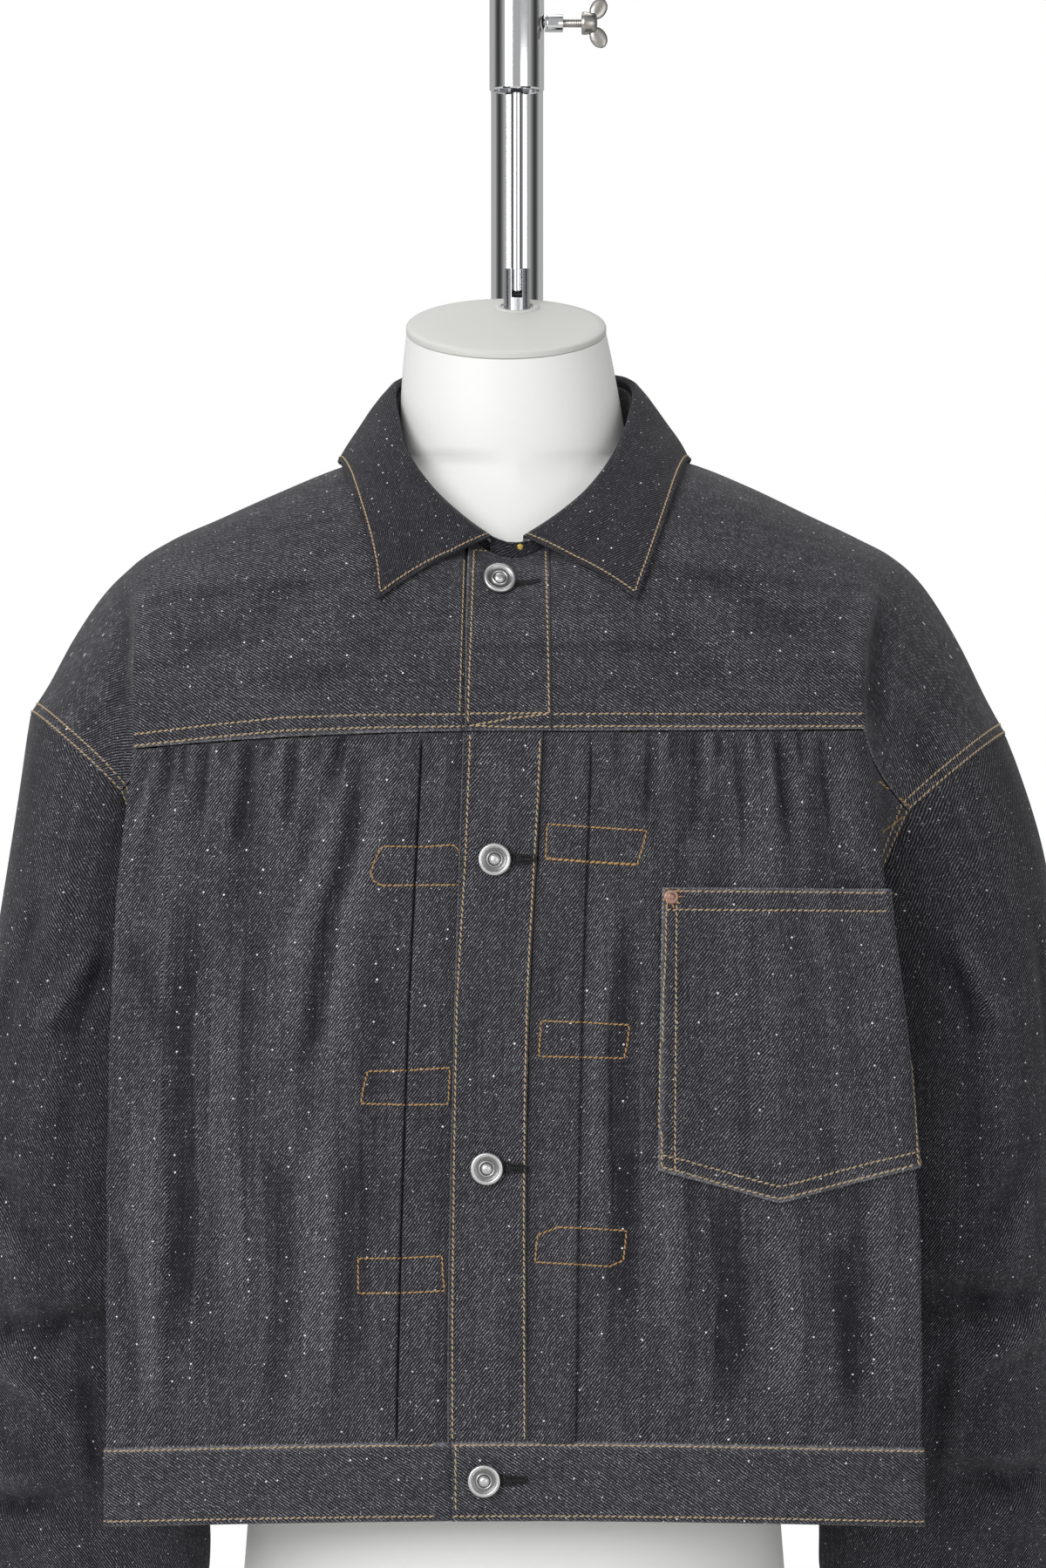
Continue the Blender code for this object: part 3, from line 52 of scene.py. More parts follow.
frontLevels = {
    -1: dict(v=(0, 0.3, 0.55, 0.78, 1), creaseX=(0.2405, 0.24, 0.2385, 0.234, 0.2242),
             creaseY=(-0.122, -0.124, -0.125, -0.125, -0.121), creaseH=(-0.393, -0.268, -0.165, -0.068, 0.0216),
             seamX=(0.176, 0.178, 0.18, 0.206, 0.235), seamY=(0.022, 0.02, 0.016, -0.052, -0.09),
             seamH=(-0.393, -0.28, -0.165, -0.08, -0.004)),
    1: dict(v=(0, 0.3, 0.55, 0.78, 1), creaseX=(0.2405, 0.239, 0.231, 0.219, 0.207),
            creaseY=(-0.122, -0.124, -0.125, -0.124, -0.119), creaseH=(-0.393, -0.262, -0.16, -0.062, 0.033),
            seamX=(0.176, 0.178, 0.18, 0.206, 0.236), seamY=(0.022, 0.02, 0.016, -0.055, -0.088),
            seamH=(-0.393, -0.28, -0.165, -0.088, -0.016)),
}
centreLevels = dict(v=(0, 0.3, 0.6, 1), frontY=(-0.148, -0.152, -0.154, -0.148),
                    backY=(0.138, 0.137, 0.139, 0.138))
backLevels = dict(v=(0, 0.3, 0.55, 0.78, 1), centreH=(-0.393, -0.265, -0.155, -0.06, 0.04),
                  seamX=(0.176, 0.178, 0.18, 0.193, 0.216), seamY=(0.022, 0.02, 0.016, 0.078, 0.098),
                  seamH=(-0.393, -0.28, -0.165, -0.085, -0.012))
ridge = dict(
    x=(-0.05, 0.0, 0.05, 0.078, 0.108, 0.145, 0.181, 0.212, 0.232, 0.2505, 0.273, 0.289, 0.3),
    rightH=(0.188, 0.16, 0.188, 0.2025, 0.1938, 0.1787, 0.1627, 0.1487, 0.136, 0.1178, 0.084, 0.054, 0.0366),
    leftH=(0.188, 0.16, 0.188, 0.2035, 0.1968, 0.1822, 0.165, 0.1503, 0.1395, 0.1232, 0.088, 0.056, 0.0366),
    backRise=(0.032, 0.0774, 0.032) + (0,) * 10)
ridgeCrease = {-1: 0.232, 1: 0.224}
placket = dict(h=(-0.435, -0.3857, -0.13, 0.0317, 0.137), freeX=(-0.037, -0.0375, -0.0335, -0.0285, -0.026),
               foldX=(0.0077, 0.0077, 0.0092, 0.017, 0.0185), rightPleatX=(-0.068, -0.0674, -0.06, -0.0526, -0.05),
               leftPleatX=(0.0345, 0.0352, 0.039, 0.0444, 0.047))
underReach, lapStep = 0.038, 0.0035


def smooth(stops, values, at):
    stops, values = np.asarray(stops, float), np.asarray(values, float)
    slopes = np.gradient(values, stops)
    at = np.clip(at, stops[0], stops[-1])
    i = np.clip(np.searchsorted(stops, at, side="right") - 1, 0, len(stops) - 2)
    width = stops[i + 1] - stops[i]
    t = (at - stops[i]) / width
    return (values[i] * (2 * t**3 - 3 * t**2 + 1) + slopes[i] * width * (t**3 - 2 * t**2 + t)
            + values[i + 1] * (3 * t**2 - 2 * t**3) + slopes[i + 1] * width * (t**3 - t**2))


def column(table, name, at, key="v"):
    return smooth(table[key], table[name], at)


def byArmhole(table, name, v):
    foot = table["v"].index(armholeV)
    low = smooth(table["v"][:foot + 1], table[name][:foot + 1], v)
    high = smooth(table["v"][foot:], table[name][foot:], v)
    return np.where(np.asarray(v) < armholeV, low, high)


def mix(a, b, t):
    return a + (b - a) * t


def bell(distance, width):
    return np.exp(-((distance / width) ** 2))


def eased(t):
    t = np.clip(t, 0.0, 1.0)
    return t * t * (3 - 2 * t)


def spread(start, end, count, power=1.0):
    return [start + (end - start) * (i / (count - 1)) ** power for i in range(count)]


def joined(*parts):
    return np.stack(np.broadcast_arrays(*parts), axis=-1)


def creasePoint(side, v):
    rows = frontLevels[side]
    return joined(side * column(rows, "creaseX", v), column(rows, "creaseY", v), column(rows, "creaseH", v))


def sideSeamPoint(side, v):
    rows = frontLevels[side]
    return joined(side * byArmhole(rows, "seamX", v), byArmhole(rows, "seamY", v), byArmhole(rows, "seamH", v))


def frontFace(x, v):
    x, v = np.broadcast_arrays(np.asarray(x, float), np.asarray(v, float))
    crease = np.where((x >= 0)[..., None], creasePoint(1, v), creasePoint(-1, v))
    t = np.minimum(np.abs(x / crease[..., 0]), 1.0)
    y = mix(column(centreLevels, "frontY", v), crease[..., 1], t**2.4)
    h = mix(mix(waistSeamH, yokeSeamH, v), crease[..., 2], t * t)
    return joined(x, y, h)


def frontSide(side, q, v):
    q = np.asarray(q, float)[..., None]
    crease, end = creasePoint(side, v), sideSeamPoint(side, v)
    middle = (crease + end) / 2 - np.array((side * 0.01, 0.0, 0.0))
    return crease * (1 - q) ** 2 + middle * 2 * q * (1 - q) + end * q * q


def placketX(name, v):
    return column(placket, name, mix(waistSeamH, yokeSeamH, v), "h")


def frontPoint(side, a, v):
    a, v = np.broadcast_arrays(np.asarray(a, float), np.asarray(v, float))
    creaseX = np.abs(creasePoint(side, v)[..., 0])
    if side > 0:
        start, pleat = placketX("foldX", v) + seam, placketX("leftPleatX", v)
    else:
        start, pleat = lapStep - placketX("freeX", v), -placketX("rightPleatX", v)
    inner = mix(start, pleat, np.clip(a / pleatAt, 0, 1))
    outer = mix(pleat, creaseX, np.clip((a - pleatAt) / (creaseAt - pleatAt), 0, 1))
    face = frontFace(side * np.where(a < pleatAt, inner, outer), v)
    folded = frontSide(side, np.clip((a - creaseAt) / (1 - creaseAt), 0, 1), v)
    return np.where((a <= creaseAt)[..., None], face, folded)


def ridgePoint(side, x, back=False):
    x = np.abs(x)
    far = np.maximum(x - leanFrom, 0.0) / (shoulderTip - leanFrom)
    h = column(ridge, "rightH" if side < 0 else "leftH", x, "x") - side * 0.0065 * far
    if back:
        h = h + column(ridge, "backRise", x, "x")
    y = ridgeY + (seamBend if back else -seamBend) * 0.7
    return joined(side * (x + side * shoulderLean * far), y, h)


def overShoulder(foot, top, turn, swing):
    rise, fall = np.sin(turn), np.cos(turn)
    x = mix(foot[..., 0], top[..., 0], (1 - swing) * (1 - fall) + swing * rise)
    return joined(x, mix(top[..., 1], foot[..., 1], fall), mix(foot[..., 2], top[..., 2], rise))


def necklineY(x, back):
    depth = neckBack if back else -neckFront
    return ridgeY + depth * np.sqrt(np.maximum(1 - (x / neckHalfWidth) ** 2, 0.0))


def lastTurn(foot, top, back):
    turn = np.full(np.broadcast(foot[..., 0], top[..., 0]).shape, math.pi / 2)
    done = np.zeros(turn.shape, bool)
    for _ in range(4):
        x = overShoulder(foot, top, turn, 0.0)[..., 0]
        done |= np.abs(x) >= neckHalfWidth
        share = (top[..., 1] - necklineY(x, back)) / (top[..., 1] - foot[..., 1])
        turn = np.where(done, math.pi / 2, np.arccos(np.clip(share, 0.0, 1.0)))
    return turn


def yokeStart(side, atRidge=False):
    h = yokeSeamH + (stripRise if atRidge else 0.0)
    if side > 0:
        return column(placket, "foldX", h, "h") + seam
    return lapStep - column(placket, "freeX", h, "h")


def yokeFace(side, footX, ridgeX, w):
    foot, top = frontFace(side * np.asarray(footX, float), 1.0), ridgePoint(side, ridgeX)
    return overShoulder(foot, top, w * lastTurn(foot, top, False), 0.0)


def leanFace(footX, ridgeX, w):
    footX, ridgeX, w = np.broadcast_arrays(np.asarray(footX, float), np.asarray(ridgeX, float),
                                           np.asarray(w, float))
    left, right = (yokeFace(s, np.abs(footX), np.abs(ridgeX), w) for s in (1, -1))
    return np.where((footX >= 0)[..., None], left, right)


def yokePoint(side, a, w):
    a, w = np.broadcast_arrays(np.asarray(a, float), np.asarray(w, float))
    t = np.clip(a / creaseAt, 0, 1)
    footX = mix(yokeStart(side), np.abs(creasePoint(side, 1.0)[0]), t)
    face = yokeFace(side, footX, mix(yokeStart(side, True), ridgeCrease[side], t), w)
    q = np.clip((a - creaseAt) / (1 - creaseAt), 0, 1)
    top = ridgePoint(side, mix(ridgeCrease[side], shoulderTip, q))
    folded = overShoulder(frontSide(side, q, 1.0), top, w * math.pi / 2, 0.8 * q)
    return np.where((a <= creaseAt)[..., None], face, folded)


def backFoot(side, u, v):
    turn = u * math.pi / 2
    centreH, seamX, seamY, seamH = (column(backLevels, "centreH", v),
                                    *(byArmhole(backLevels, n, v) for n in ("seamX", "seamY", "seamH")))
    x = seamX * np.sin(turn) ** 0.9
    y = mix(seamY, column(centreLevels, "backY", v), np.maximum(np.cos(turn), 0.0) ** 0.75)
    return joined(side * x, y, mix(centreH, seamH, u * u))


def backPoint(side, u, v):
    u, v = np.broadcast_arrays(np.asarray(u, float), np.asarray(v, float))
    low = backFoot(side, u, np.minimum(v, 1.0)).copy()
    swell = sum(out * bell(side * u - place, width) for place, out, width in backSwells)
    low[..., 1] += swell * eased(v / 0.2) * eased((1 - v) / 0.5) * eased((1 - u) / 0.2)
    foot, width = backFoot(side, u, 1.0), np.abs(backFoot(side, 1.0, 1.0)[..., 0])
    top = ridgePoint(side, shoulderTip * np.abs(foot[..., 0]) / width, back=True)
    high = overShoulder(foot, top, (v - 1) * lastTurn(foot, top, True), 0.8 * eased((u - 0.5) / 0.5))
    return np.where((v <= 1)[..., None], low, high)


def normalsOf(grid, wrap=False):
    across = np.roll(grid, -1, axis=1) - np.roll(grid, 1, axis=1) if wrap else np.gradient(grid, axis=1)
    normal = np.cross(across, np.gradient(grid, axis=0))
    return normal / np.maximum(np.linalg.norm(normal, axis=2, keepdims=True), 1e-12)


def raised(grid, out, wrap=False):
    out = np.asarray(out, float)
    return grid + normalsOf(grid, wrap) * (out[..., None] if out.ndim == 2 else out)


def gridOf(function, rows, columns):
    c, r = np.meshgrid(np.asarray(columns, float), np.asarray(rows, float))
    return function(c, r)


def newObject(name, points, faces, materials, smoothShade=True):
    mesh = bpy.data.meshes.new(name)
    mesh.from_pydata(np.asarray(points).tolist(), [], faces)
    for finish in materials:
        mesh.materials.append(finish)
    if smoothShade:
        mesh.shade_smooth()
    made = bpy.data.objects.new(name, mesh)
    bpy.context.scene.collection.objects.link(made)
    return made


def tubeFaces(count, steps):
    # the sides of a tube of equal rings, then its two ends
    one = np.arange(steps)
    low = (np.arange(count - 1) * steps)[:, None]
    high, turned = low + steps, np.roll(one, -1)
    sides = np.stack([low + one, low + turned, high + turned, high + one], axis=-1)
    return sides.reshape(-1, 4).tolist() + [one[::-1].tolist(), (one + (count - 1) * steps).tolist()]


def arcs(grid):
    # cloth coordinates in metres: how far each point lies across and along the piece
    across = np.linalg.norm(np.diff(grid, axis=1), axis=2)
    along = np.linalg.norm(np.diff(grid, axis=0), axis=2)
    u = np.concatenate([np.zeros((len(grid), 1)), np.cumsum(across, axis=1)], axis=1)
    v = np.concatenate([np.zeros((1, grid.shape[1])), np.cumsum(along, axis=0)], axis=0)
    return u, v


studio = dict(eye=(0.00535, -3.06, 0.7), lens=114.45, world=0.46, flags=0.45, flagsAt=0.08, flagDepth=0.9,
              key=dict(place=(-1.9, -2.8, 1.75), size=1.8, power=76.0),
              fill=dict(place=(1.7, -2.9, 0.75), size=1.8, power=18.0),
              top=dict(place=(-0.3, 0.5, 2.7), size=1.6, power=16.0))


def shell(name, grid, thickness, materials, wrap=False, flip=False, grain=0, pale=None, shade=None, level=0.5):
    # a closed wall on a grid of outer points, with round edges; grain 1 turns the weave a quarter
    # shade is painted into the outer face's colour: painted highlight above 0, painted shade below 0
    rows, columns = grid.shape[:2]
    way = -1 if flip else 1
    inward = normalsOf(grid, wrap) * -way
    inner, middle, outer = grid + inward * thickness, grid + inward * thickness / 2, grid.copy()
    edges = [((0,), (1,)), ((-1,), (-2,))]
    if not wrap:
        edges += [((slice(None), edge), (slice(None), near)) for edge, near in ((0, 1), (-1, -2))]
    for edge, near in edges:
        step = grid[near] - grid[edge]
        step *= edgeRound * thickness / np.maximum(np.linalg.norm(step, axis=-1, keepdims=True), 1e-9)
        outer[edge] += step
        inner[edge] += step
    # the cloth is measured across on one level row and along each column
    u, v = arcs(grid)
    u = np.repeat(u[int(level * (rows - 1))][None, :], rows, axis=0)
    v = v - v[int(level * (rows - 1))][None, :]
    lie = np.stack([v, -u] if grain else [u, v], axis=-1)
    pale = np.zeros((rows, columns)) if pale is None else pale
    shade = np.zeros((rows, columns)) if shade is None else np.clip(shade, -1, 1)
    count = rows * columns
    index = np.arange(count).reshape(rows, columns)
    if wrap:
        loops = [index[0], index[-1][::-1]]
        turned = np.roll(index, -1, axis=1)
        a, b, c, d = index[:-1], turned[:-1], turned[1:], index[1:]
    else:
        loops = [np.concatenate([index[0, :-1], index[:-1, -1], index[-1, :0:-1], index[:0:-1, 0]])]
        a, b, c, d = index[:-1, :-1], index[:-1, 1:], index[1:, 1:], index[1:, :-1]
    quads = np.stack([a, b, c, d], axis=-1).reshape(-1, 4)
    if flip:
        quads = quads[:, ::-1]
    faces, kinds = [quads, quads[:, ::-1] + count], [np.zeros(len(quads)), np.ones(len(quads))]
    points, lies = [outer.reshape(-1, 3), inner.reshape(-1, 3)], [lie.reshape(-1, 2)] * 2
    pales, shades = [pale.ravel()] * 2, [shade.ravel(), np.zeros(count)]
    extra = 2 * count
    for loop in loops:
        size = len(loop)
        points.append(middle.reshape(-1, 3)[loop])
        lies.append(lie.reshape(-1, 2)[loop])
        pales.append(pale.ravel()[loop])
        # the cut edges that aren't pale get painted shade, so they stay dark
        shades.append(np.where(pale.ravel()[loop] > 0.1, shade.ravel()[loop], -1.0))
        ring = np.arange(size) + extra
        ahead, ringAhead = np.roll(loop, -1), np.roll(ring, -1)
        top = np.stack([loop, ring, ringAhead, ahead], axis=-1)
        low = np.stack([ring, loop + count, ahead + count, ringAhead], axis=-1)
        for strip in (top, low):
            faces.append(strip[:, ::-1] if flip else strip)
            kinds.append(np.zeros(size))
        extra += size
    points, faces = np.concatenate(points) + (0, 0, chest), np.concatenate(faces)
    made = newObject(name, points, faces.tolist(), materials)
    made.data.polygons.foreach_set("material_index", np.concatenate(kinds).astype(np.int32))
    layer = made.data.uv_layers.new(name="cloth")
    corners = np.empty(len(made.data.loops), np.int32)
    made.data.loops.foreach_get("vertex_index", corners)
    layer.data.foreach_set("uv", np.concatenate(lies)[corners].astype(np.float32).ravel())
    for title, values in (("pale", pales), ("shade", shades)):
        layer = made.data.attributes.new(title, "FLOAT", "POINT")
        layer.data.foreach_set("value", np.concatenate(values).astype(np.float32))
    surfaces[name] = (points[:count], quads)
    return made


def assign(made, node, body):
    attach(made, body)
    if node:
        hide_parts(node)


def lathe(name, profile, steps, finish, place, body="hung", node=None):
    # a turned piece: the profile is (radius, height), from the top down, and may end on the axis
    turns = [2 * math.pi * i / steps for i in range(steps)]
    points, faces, rings = [], [], []
    for radius, height in profile:
        if radius < 1e-7:
            rings.append([len(points)])
            points.append((0.0, 0.0, height))
        else:
            rings.append(list(range(len(points), len(points) + steps)))
            points += [(radius * math.cos(t), radius * math.sin(t), height) for t in turns]
    openRing = profile[0][0] > 0
    pairs = list(zip(rings, rings[1:])) + ([(rings[-1], rings[0])] if openRing else [])
    for high, low in pairs:
        for i in range(steps):
            k = (i + 1) % steps
            ring = [high[i % len(high)], low[i % len(low)], low[k % len(low)], high[k % len(high)]]
            faces.append(list(dict.fromkeys(ring)))
    points = [place @ Vector(p) for p in points]
    made = newObject(name, [tuple(p) for p in points], faces, [finish])
    smoothByAngle(made)
    # what lies below its near surroundings gets painted shade, darkest in the deepest grooves
    grooveShading, grooveShadeReach, grooveShadeDepth = made.data.attributes.new("shade", "FLOAT", "POINT"), 0.0022, 0.0007
    for ring, (radius, height) in zip(rings, profile):
        near = [(r, h) for r, h in profile if abs(r - radius) < grooveShadeReach]
        sunk = min(max(h for r, h in near if r <= radius), max(h for r, h in near if r >= radius)) - height
        for vertex in ring:
            grooveShading.data[vertex].value = -min(max(sunk, 0.0) / grooveShadeDepth, 1.0)
    assign(made, node, body)


def smoothByAngle(made, degrees=35):
    mesh = made.data
    mesh.shade_smooth()
    edgeNormals = {}
    for face in mesh.polygons:
        for key in face.edge_keys:
            edgeNormals.setdefault(key, []).append(face.normal)
    limit = math.cos(math.radians(degrees))
    sharp = mesh.attributes.new("sharp_edge", "BOOLEAN", "EDGE")
    for edge in mesh.edges:
        pair = edgeNormals.get(tuple(sorted(edge.vertices)), [])
        sharp.data[edge.index].value = len(pair) == 2 and pair[0].dot(pair[1]) < limit


def alongPath(distances, path):
    # least distance from each point of the plane to a line of points, and its share of the way
    path = np.asarray(path, float)
    best, share = np.full(distances.shape[:-1], 9.0), np.zeros(distances.shape[:-1])
    lengths = np.linalg.norm(np.diff(path, axis=0), axis=1)
    total, run = lengths.sum(), 0.0
    for start, end, length in zip(path[:-1], path[1:], lengths):
        way = end - start
        t = np.clip(((distances - start) @ way) / length**2, 0, 1)
        gap = np.linalg.norm(distances - (start + t[..., None] * way), axis=-1)
        near = gap < best
        best, share = np.where(near, gap, best), np.where(near, (run + t * length) / total, share)
        run += length
    return best, share


def creased(flat, creases):
    # soft troughs (below 0) and ridges (above 0), each along its own line, fading at both ends
    out = np.zeros(flat.shape[:-1])
    for depth, width, *path in creases:
        gap, share = alongPath(flat * 1000.0, np.reshape(path, (-1, 2)))
        end = eased((1 - share) / 0.35 + 0.05)
        out += depth * 0.001 * bell(gap, width) * eased(share / 0.25 + 0.12) * end
    return out


surfaces = {}


def nodeTools(tree):
    def add(kind, settings=None, **inputs):
        node = tree.nodes.new("ShaderNode" + kind)
        for key, value in (settings or {}).items():
            setattr(node, key, value)
        for key, value in inputs.items():
            numbered = key[0] == "i" and key[1:].isdigit()
            socket = node.inputs[int(key[1:]) if numbered else key.replace("_", " ")]
            if isinstance(value, bpy.types.NodeSocket):
                tree.links.new(value, socket)
            else:
                socket.default_value = value
        return node

    def calc(kind, *values, clamp=False):
        return add("Math", dict(operation=kind, use_clamp=clamp),
                   **{f"i{i}": v for i, v in enumerate(values)}).outputs[0]

    return add, calc


def finishTree(name):
    made = bpy.data.materials.new(name)
    made.use_nodes = True
    tree = made.node_tree
    return made, tree, tree.nodes["Principled BSDF"], *nodeTools(tree)


denimLook = dict(
    twillAngle=55.0, twillPitch=1.46, dashLength=1.35,  # degrees and millimetres
    dark=(0.0062, 0.0058, 0.0098, 1), light=(0.33, 0.33, 0.362, 1), nep=(0.8, 0.8, 0.82, 1),
    # shade: how strongly painted shade and painted highlight from the folds darken and brighten the weave
    mottle=0.42, shade=0.65, roughness=0.92,
    # how far each unevenness of the yarn is drawn out, across and along the grain
    streak=(0.34, 0.01), band=(0.05, 0.0045), rib=(0.02, 0.55),
    # white specks: spacing, radius in millimetres, the share that shows and how white
    neps=((12.0, 0.62, 0.7, 0.95), (5.2, 0.36, 0.55, 0.65), (2.6, 0.24, 0.45, 0.35)))


def denimFinish(name, tone=1.0, streaks=0.45, bands=0.6, reverse=False):
    look = denimLook
    made, tree, shader, add, calc = finishTree(name)

    def noise(place, scale, detail, roughness=0.5):
        return add("TexNoise", dict(noise_dimensions="2D"), Vector=place, Scale=scale, Detail=detail,
                   Roughness=roughness).outputs[0]

    def stretched(place, x, y):
        return add("VectorMath", dict(operation="MULTIPLY"), i0=place, i1=(x, y, 1.0)).outputs[0]

    def swing(value, amount):
        # noise about one half turned into a gain about nought
        return calc("MULTIPLY", calc("SUBTRACT", value, 0.5), 2 * amount)

    def pulsed(value, low):
        turned = calc("COSINE", calc("MULTIPLY", calc("SUBTRACT", calc("FRACT", value), 0.5), 2 * math.pi))
        return calc("MULTIPLY_ADD", turned, (1 - low) / 2, (1 + low) / 2)

    uv = add("UVMap", dict(uv_map="cloth")).outputs[0]
    flat = add("VectorMath", dict(operation="SCALE"), i0=uv, Scale=1000.0).outputs[0]
    apart = add("SeparateXYZ", None, i0=flat)
    x, y = apart.outputs[0], apart.outputs[1]
    angle = math.radians(look["twillAngle"])
    side = calc("SUBTRACT", calc("MULTIPLY", y, math.cos(angle)), calc("MULTIPLY", x, math.sin(angle)))
    side = calc("DIVIDE", side, look["twillPitch"])
    side = calc("ADD", side, calc("ADD", swing(noise(flat, 0.04, 2.0, 0.5), 0.9),
                                  swing(noise(flat, 0.5, 1.0), 0.22)))
    along = calc("ADD", calc("MULTIPLY", x, math.cos(angle)), calc("MULTIPLY", y, math.sin(angle)))
    row = calc("FLOOR", side)
    shifted = calc("ADD", calc("DIVIDE", along, look["dashLength"]), calc("MULTIPLY", row, 0.37))
    cell = add("CombineXYZ", None, i0=row, i1=calc("FLOOR", shifted), i2=0.0).outputs[0]
    dash = add("TexWhiteNoise", dict(noise_dimensions="3D"), Vector=cell).outputs["Value"]
    dash = calc("MULTIPLY_ADD", calc("POWER", dash, 2.0), 0.9, 0.55)
    weft = calc("MULTIPLY", calc("MULTIPLY", calc("POWER", pulsed(side, 0.0), 3.4), pulsed(shifted, 0.45)), dash)
    # uneven yarn: narrow streaks and broad bands along the grain, faint ribs across it and a loose mottle
    streak = noise(stretched(flat, *look["streak"]), 1.0, 4.0, 0.6)
    band = noise(stretched(flat, *look["band"]), 1.0, 3.0, 0.55)
    rib = noise(stretched(flat, *look["rib"]), 1.0, 2.0)
    gain = calc("ADD", calc("ADD", swing(streak, streaks), swing(band, bands)),
                swing(noise(flat, 0.06, 6.0, 0.7), look["mottle"]))
    gain = calc("ADD", calc("ADD", gain, 1.0),
                calc("ADD", swing(noise(flat, 1.1, 2.0, 0.7), 0.35), swing(rib, 0.3)))
    # painted highlight on ridges, painted shade in troughs and on dark edges
    gain = calc("ADD", gain, calc("MULTIPLY", add("Attribute", dict(attribute_name="shade")).outputs["Fac"],
                                  look["shade"]))
    weft = calc("MULTIPLY", weft, calc("MAXIMUM", gain, 0.16))
    pale = add("Attribute", dict(attribute_name="pale")).outputs["Fac"]
    weft = calc("ADD", weft, calc("MULTIPLY", pale, calc("MULTIPLY", dash, 0.75)))
    if reverse:
        weft = calc("ADD", calc("MULTIPLY", weft, 0.8), 0.42)
    weft = calc("MULTIPLY", weft, tone, clamp=True)
    colour = add("Mix", dict(data_type="RGBA"), i0=weft, i6=look["dark"], i7=look["light"]).outputs[2]
    specks = None
    for spacing, radius, share, white in look["neps"]:
        nep = add("TexVoronoi", dict(voronoi_dimensions="2D"), Vector=flat, Scale=1 / spacing)
        pick = add("SeparateColor", None, i0=nep.outputs["Color"])
        size = calc("MULTIPLY", calc("POWER", pick.outputs[0], 1.6), radius / spacing)
        size = calc("MULTIPLY", size, calc("GREATER_THAN", pick.outputs[1], 1 - share))
        spot = calc("MULTIPLY", calc("GREATER_THAN", size, nep.outputs["Distance"]), white)
        specks = spot if specks is None else calc("MAXIMUM", specks, spot)
    colour = add("Mix", dict(data_type="RGBA"), i0=specks, i6=colour, i7=look["nep"]).outputs[2]
    tree.links.new(colour, shader.inputs["Base Color"])
    shader.inputs["Roughness"].default_value = look["roughness"]
    shader.inputs["Specular IOR Level"].default_value = 0.25
    shader.inputs["Sheen Weight"].default_value = 0.08
    shader.inputs["Sheen Roughness"].default_value = 0.45
    height = calc("ADD", calc("MULTIPLY", weft, 0.7), calc("MULTIPLY", specks, 0.8))
    height = calc("ADD", height, calc("MULTIPLY", streak, 0.8))
    bump = add("Bump", None, Height=height, Strength=0.5, Distance=0.00022)
    tree.links.new(bump.outputs[0], shader.inputs["Normal"])
    return made


def spunFinish(name, colour, vary, roughness, scale=900.0, metallic=0.0, bump=0.1, grooveShade=0.0):
    # a plain finish with its own fine unevenness: thread, plaster, metal
    made, tree, shader, add, calc = finishTree(name)
    place = add("TexCoord").outputs["Object"]
    fine = add("TexNoise", None, Vector=place, Scale=scale, Detail=3.0, Roughness=0.6).outputs[0]
    broad = add("TexNoise", None, Vector=place, Scale=scale / 40, Detail=2.0).outputs[0]
    blend = calc("ADD", calc("MULTIPLY", fine, 0.6), calc("MULTIPLY", broad, 0.4))
    low, high = ([*(max(c * f, 0.0) for c in colour), 1] for f in (1 - vary, 1 + vary))
    mixed = add("Mix", dict(data_type="RGBA"), i0=blend, i6=low, i7=high).outputs[2]
    # painted shade in grooves: the colour darkens where the shade attribute is below 0
    if grooveShade:
        sunk = calc("MULTIPLY", add("Attribute", dict(attribute_name="shade")).outputs["Fac"], -grooveShade, clamp=True)
        mixed = add("Mix", dict(data_type="RGBA"), i0=sunk, i6=mixed,
                    i7=[*(c * 0.12 for c in colour), 1]).outputs[2]
    tree.links.new(mixed, shader.inputs["Base Color"])
    rough = calc("MULTIPLY_ADD", fine, roughness * 0.3, roughness * 0.85)
    tree.links.new(rough, shader.inputs["Roughness"])
    shader.inputs["Metallic"].default_value = metallic
    raisedBump = add("Bump", None, Height=fine, Strength=bump, Distance=0.0003)
    tree.links.new(raisedBump.outputs[0], shader.inputs["Normal"])
    return made


body = denimFinish("denimBody", 0.76)
yokeCloth = denimFinish("denimYoke", 0.73, 0.38, 0.45)
collarCloth = denimFinish("denimCollar", 0.33, 0.2, 0.3)
# the sleeves' cloth is a darker copy of the body's: painted shade for sleeves that hang back in the body's shadow
shadedSleeveCloth = denimFinish("denimSleeveShaded", 0.55, 0.45, 0.55)
bandCloth = denimFinish("denimBand", 0.8, 0.25, 0.35)
inside = denimFinish("denimReverse", 1.0, reverse=True)
thread = spunFinish("thread", (0.42, 0.31, 0.185), 0.42, 0.65, 1500.0, bump=0.4)
boldThread = spunFinish("boldThread", (0.4, 0.235, 0.09), 0.38, 0.6, 1500.0, bump=0.4)
blackThread = spunFinish("blackThread", (0.012, 0.012, 0.014), 0.5, 0.7, 1500.0, bump=0.4)
yellowThread = spunFinish("yellowThread", (0.55, 0.4, 0.08), 0.3, 0.7, 1500.0, bump=0.4)
print("finishes ready")


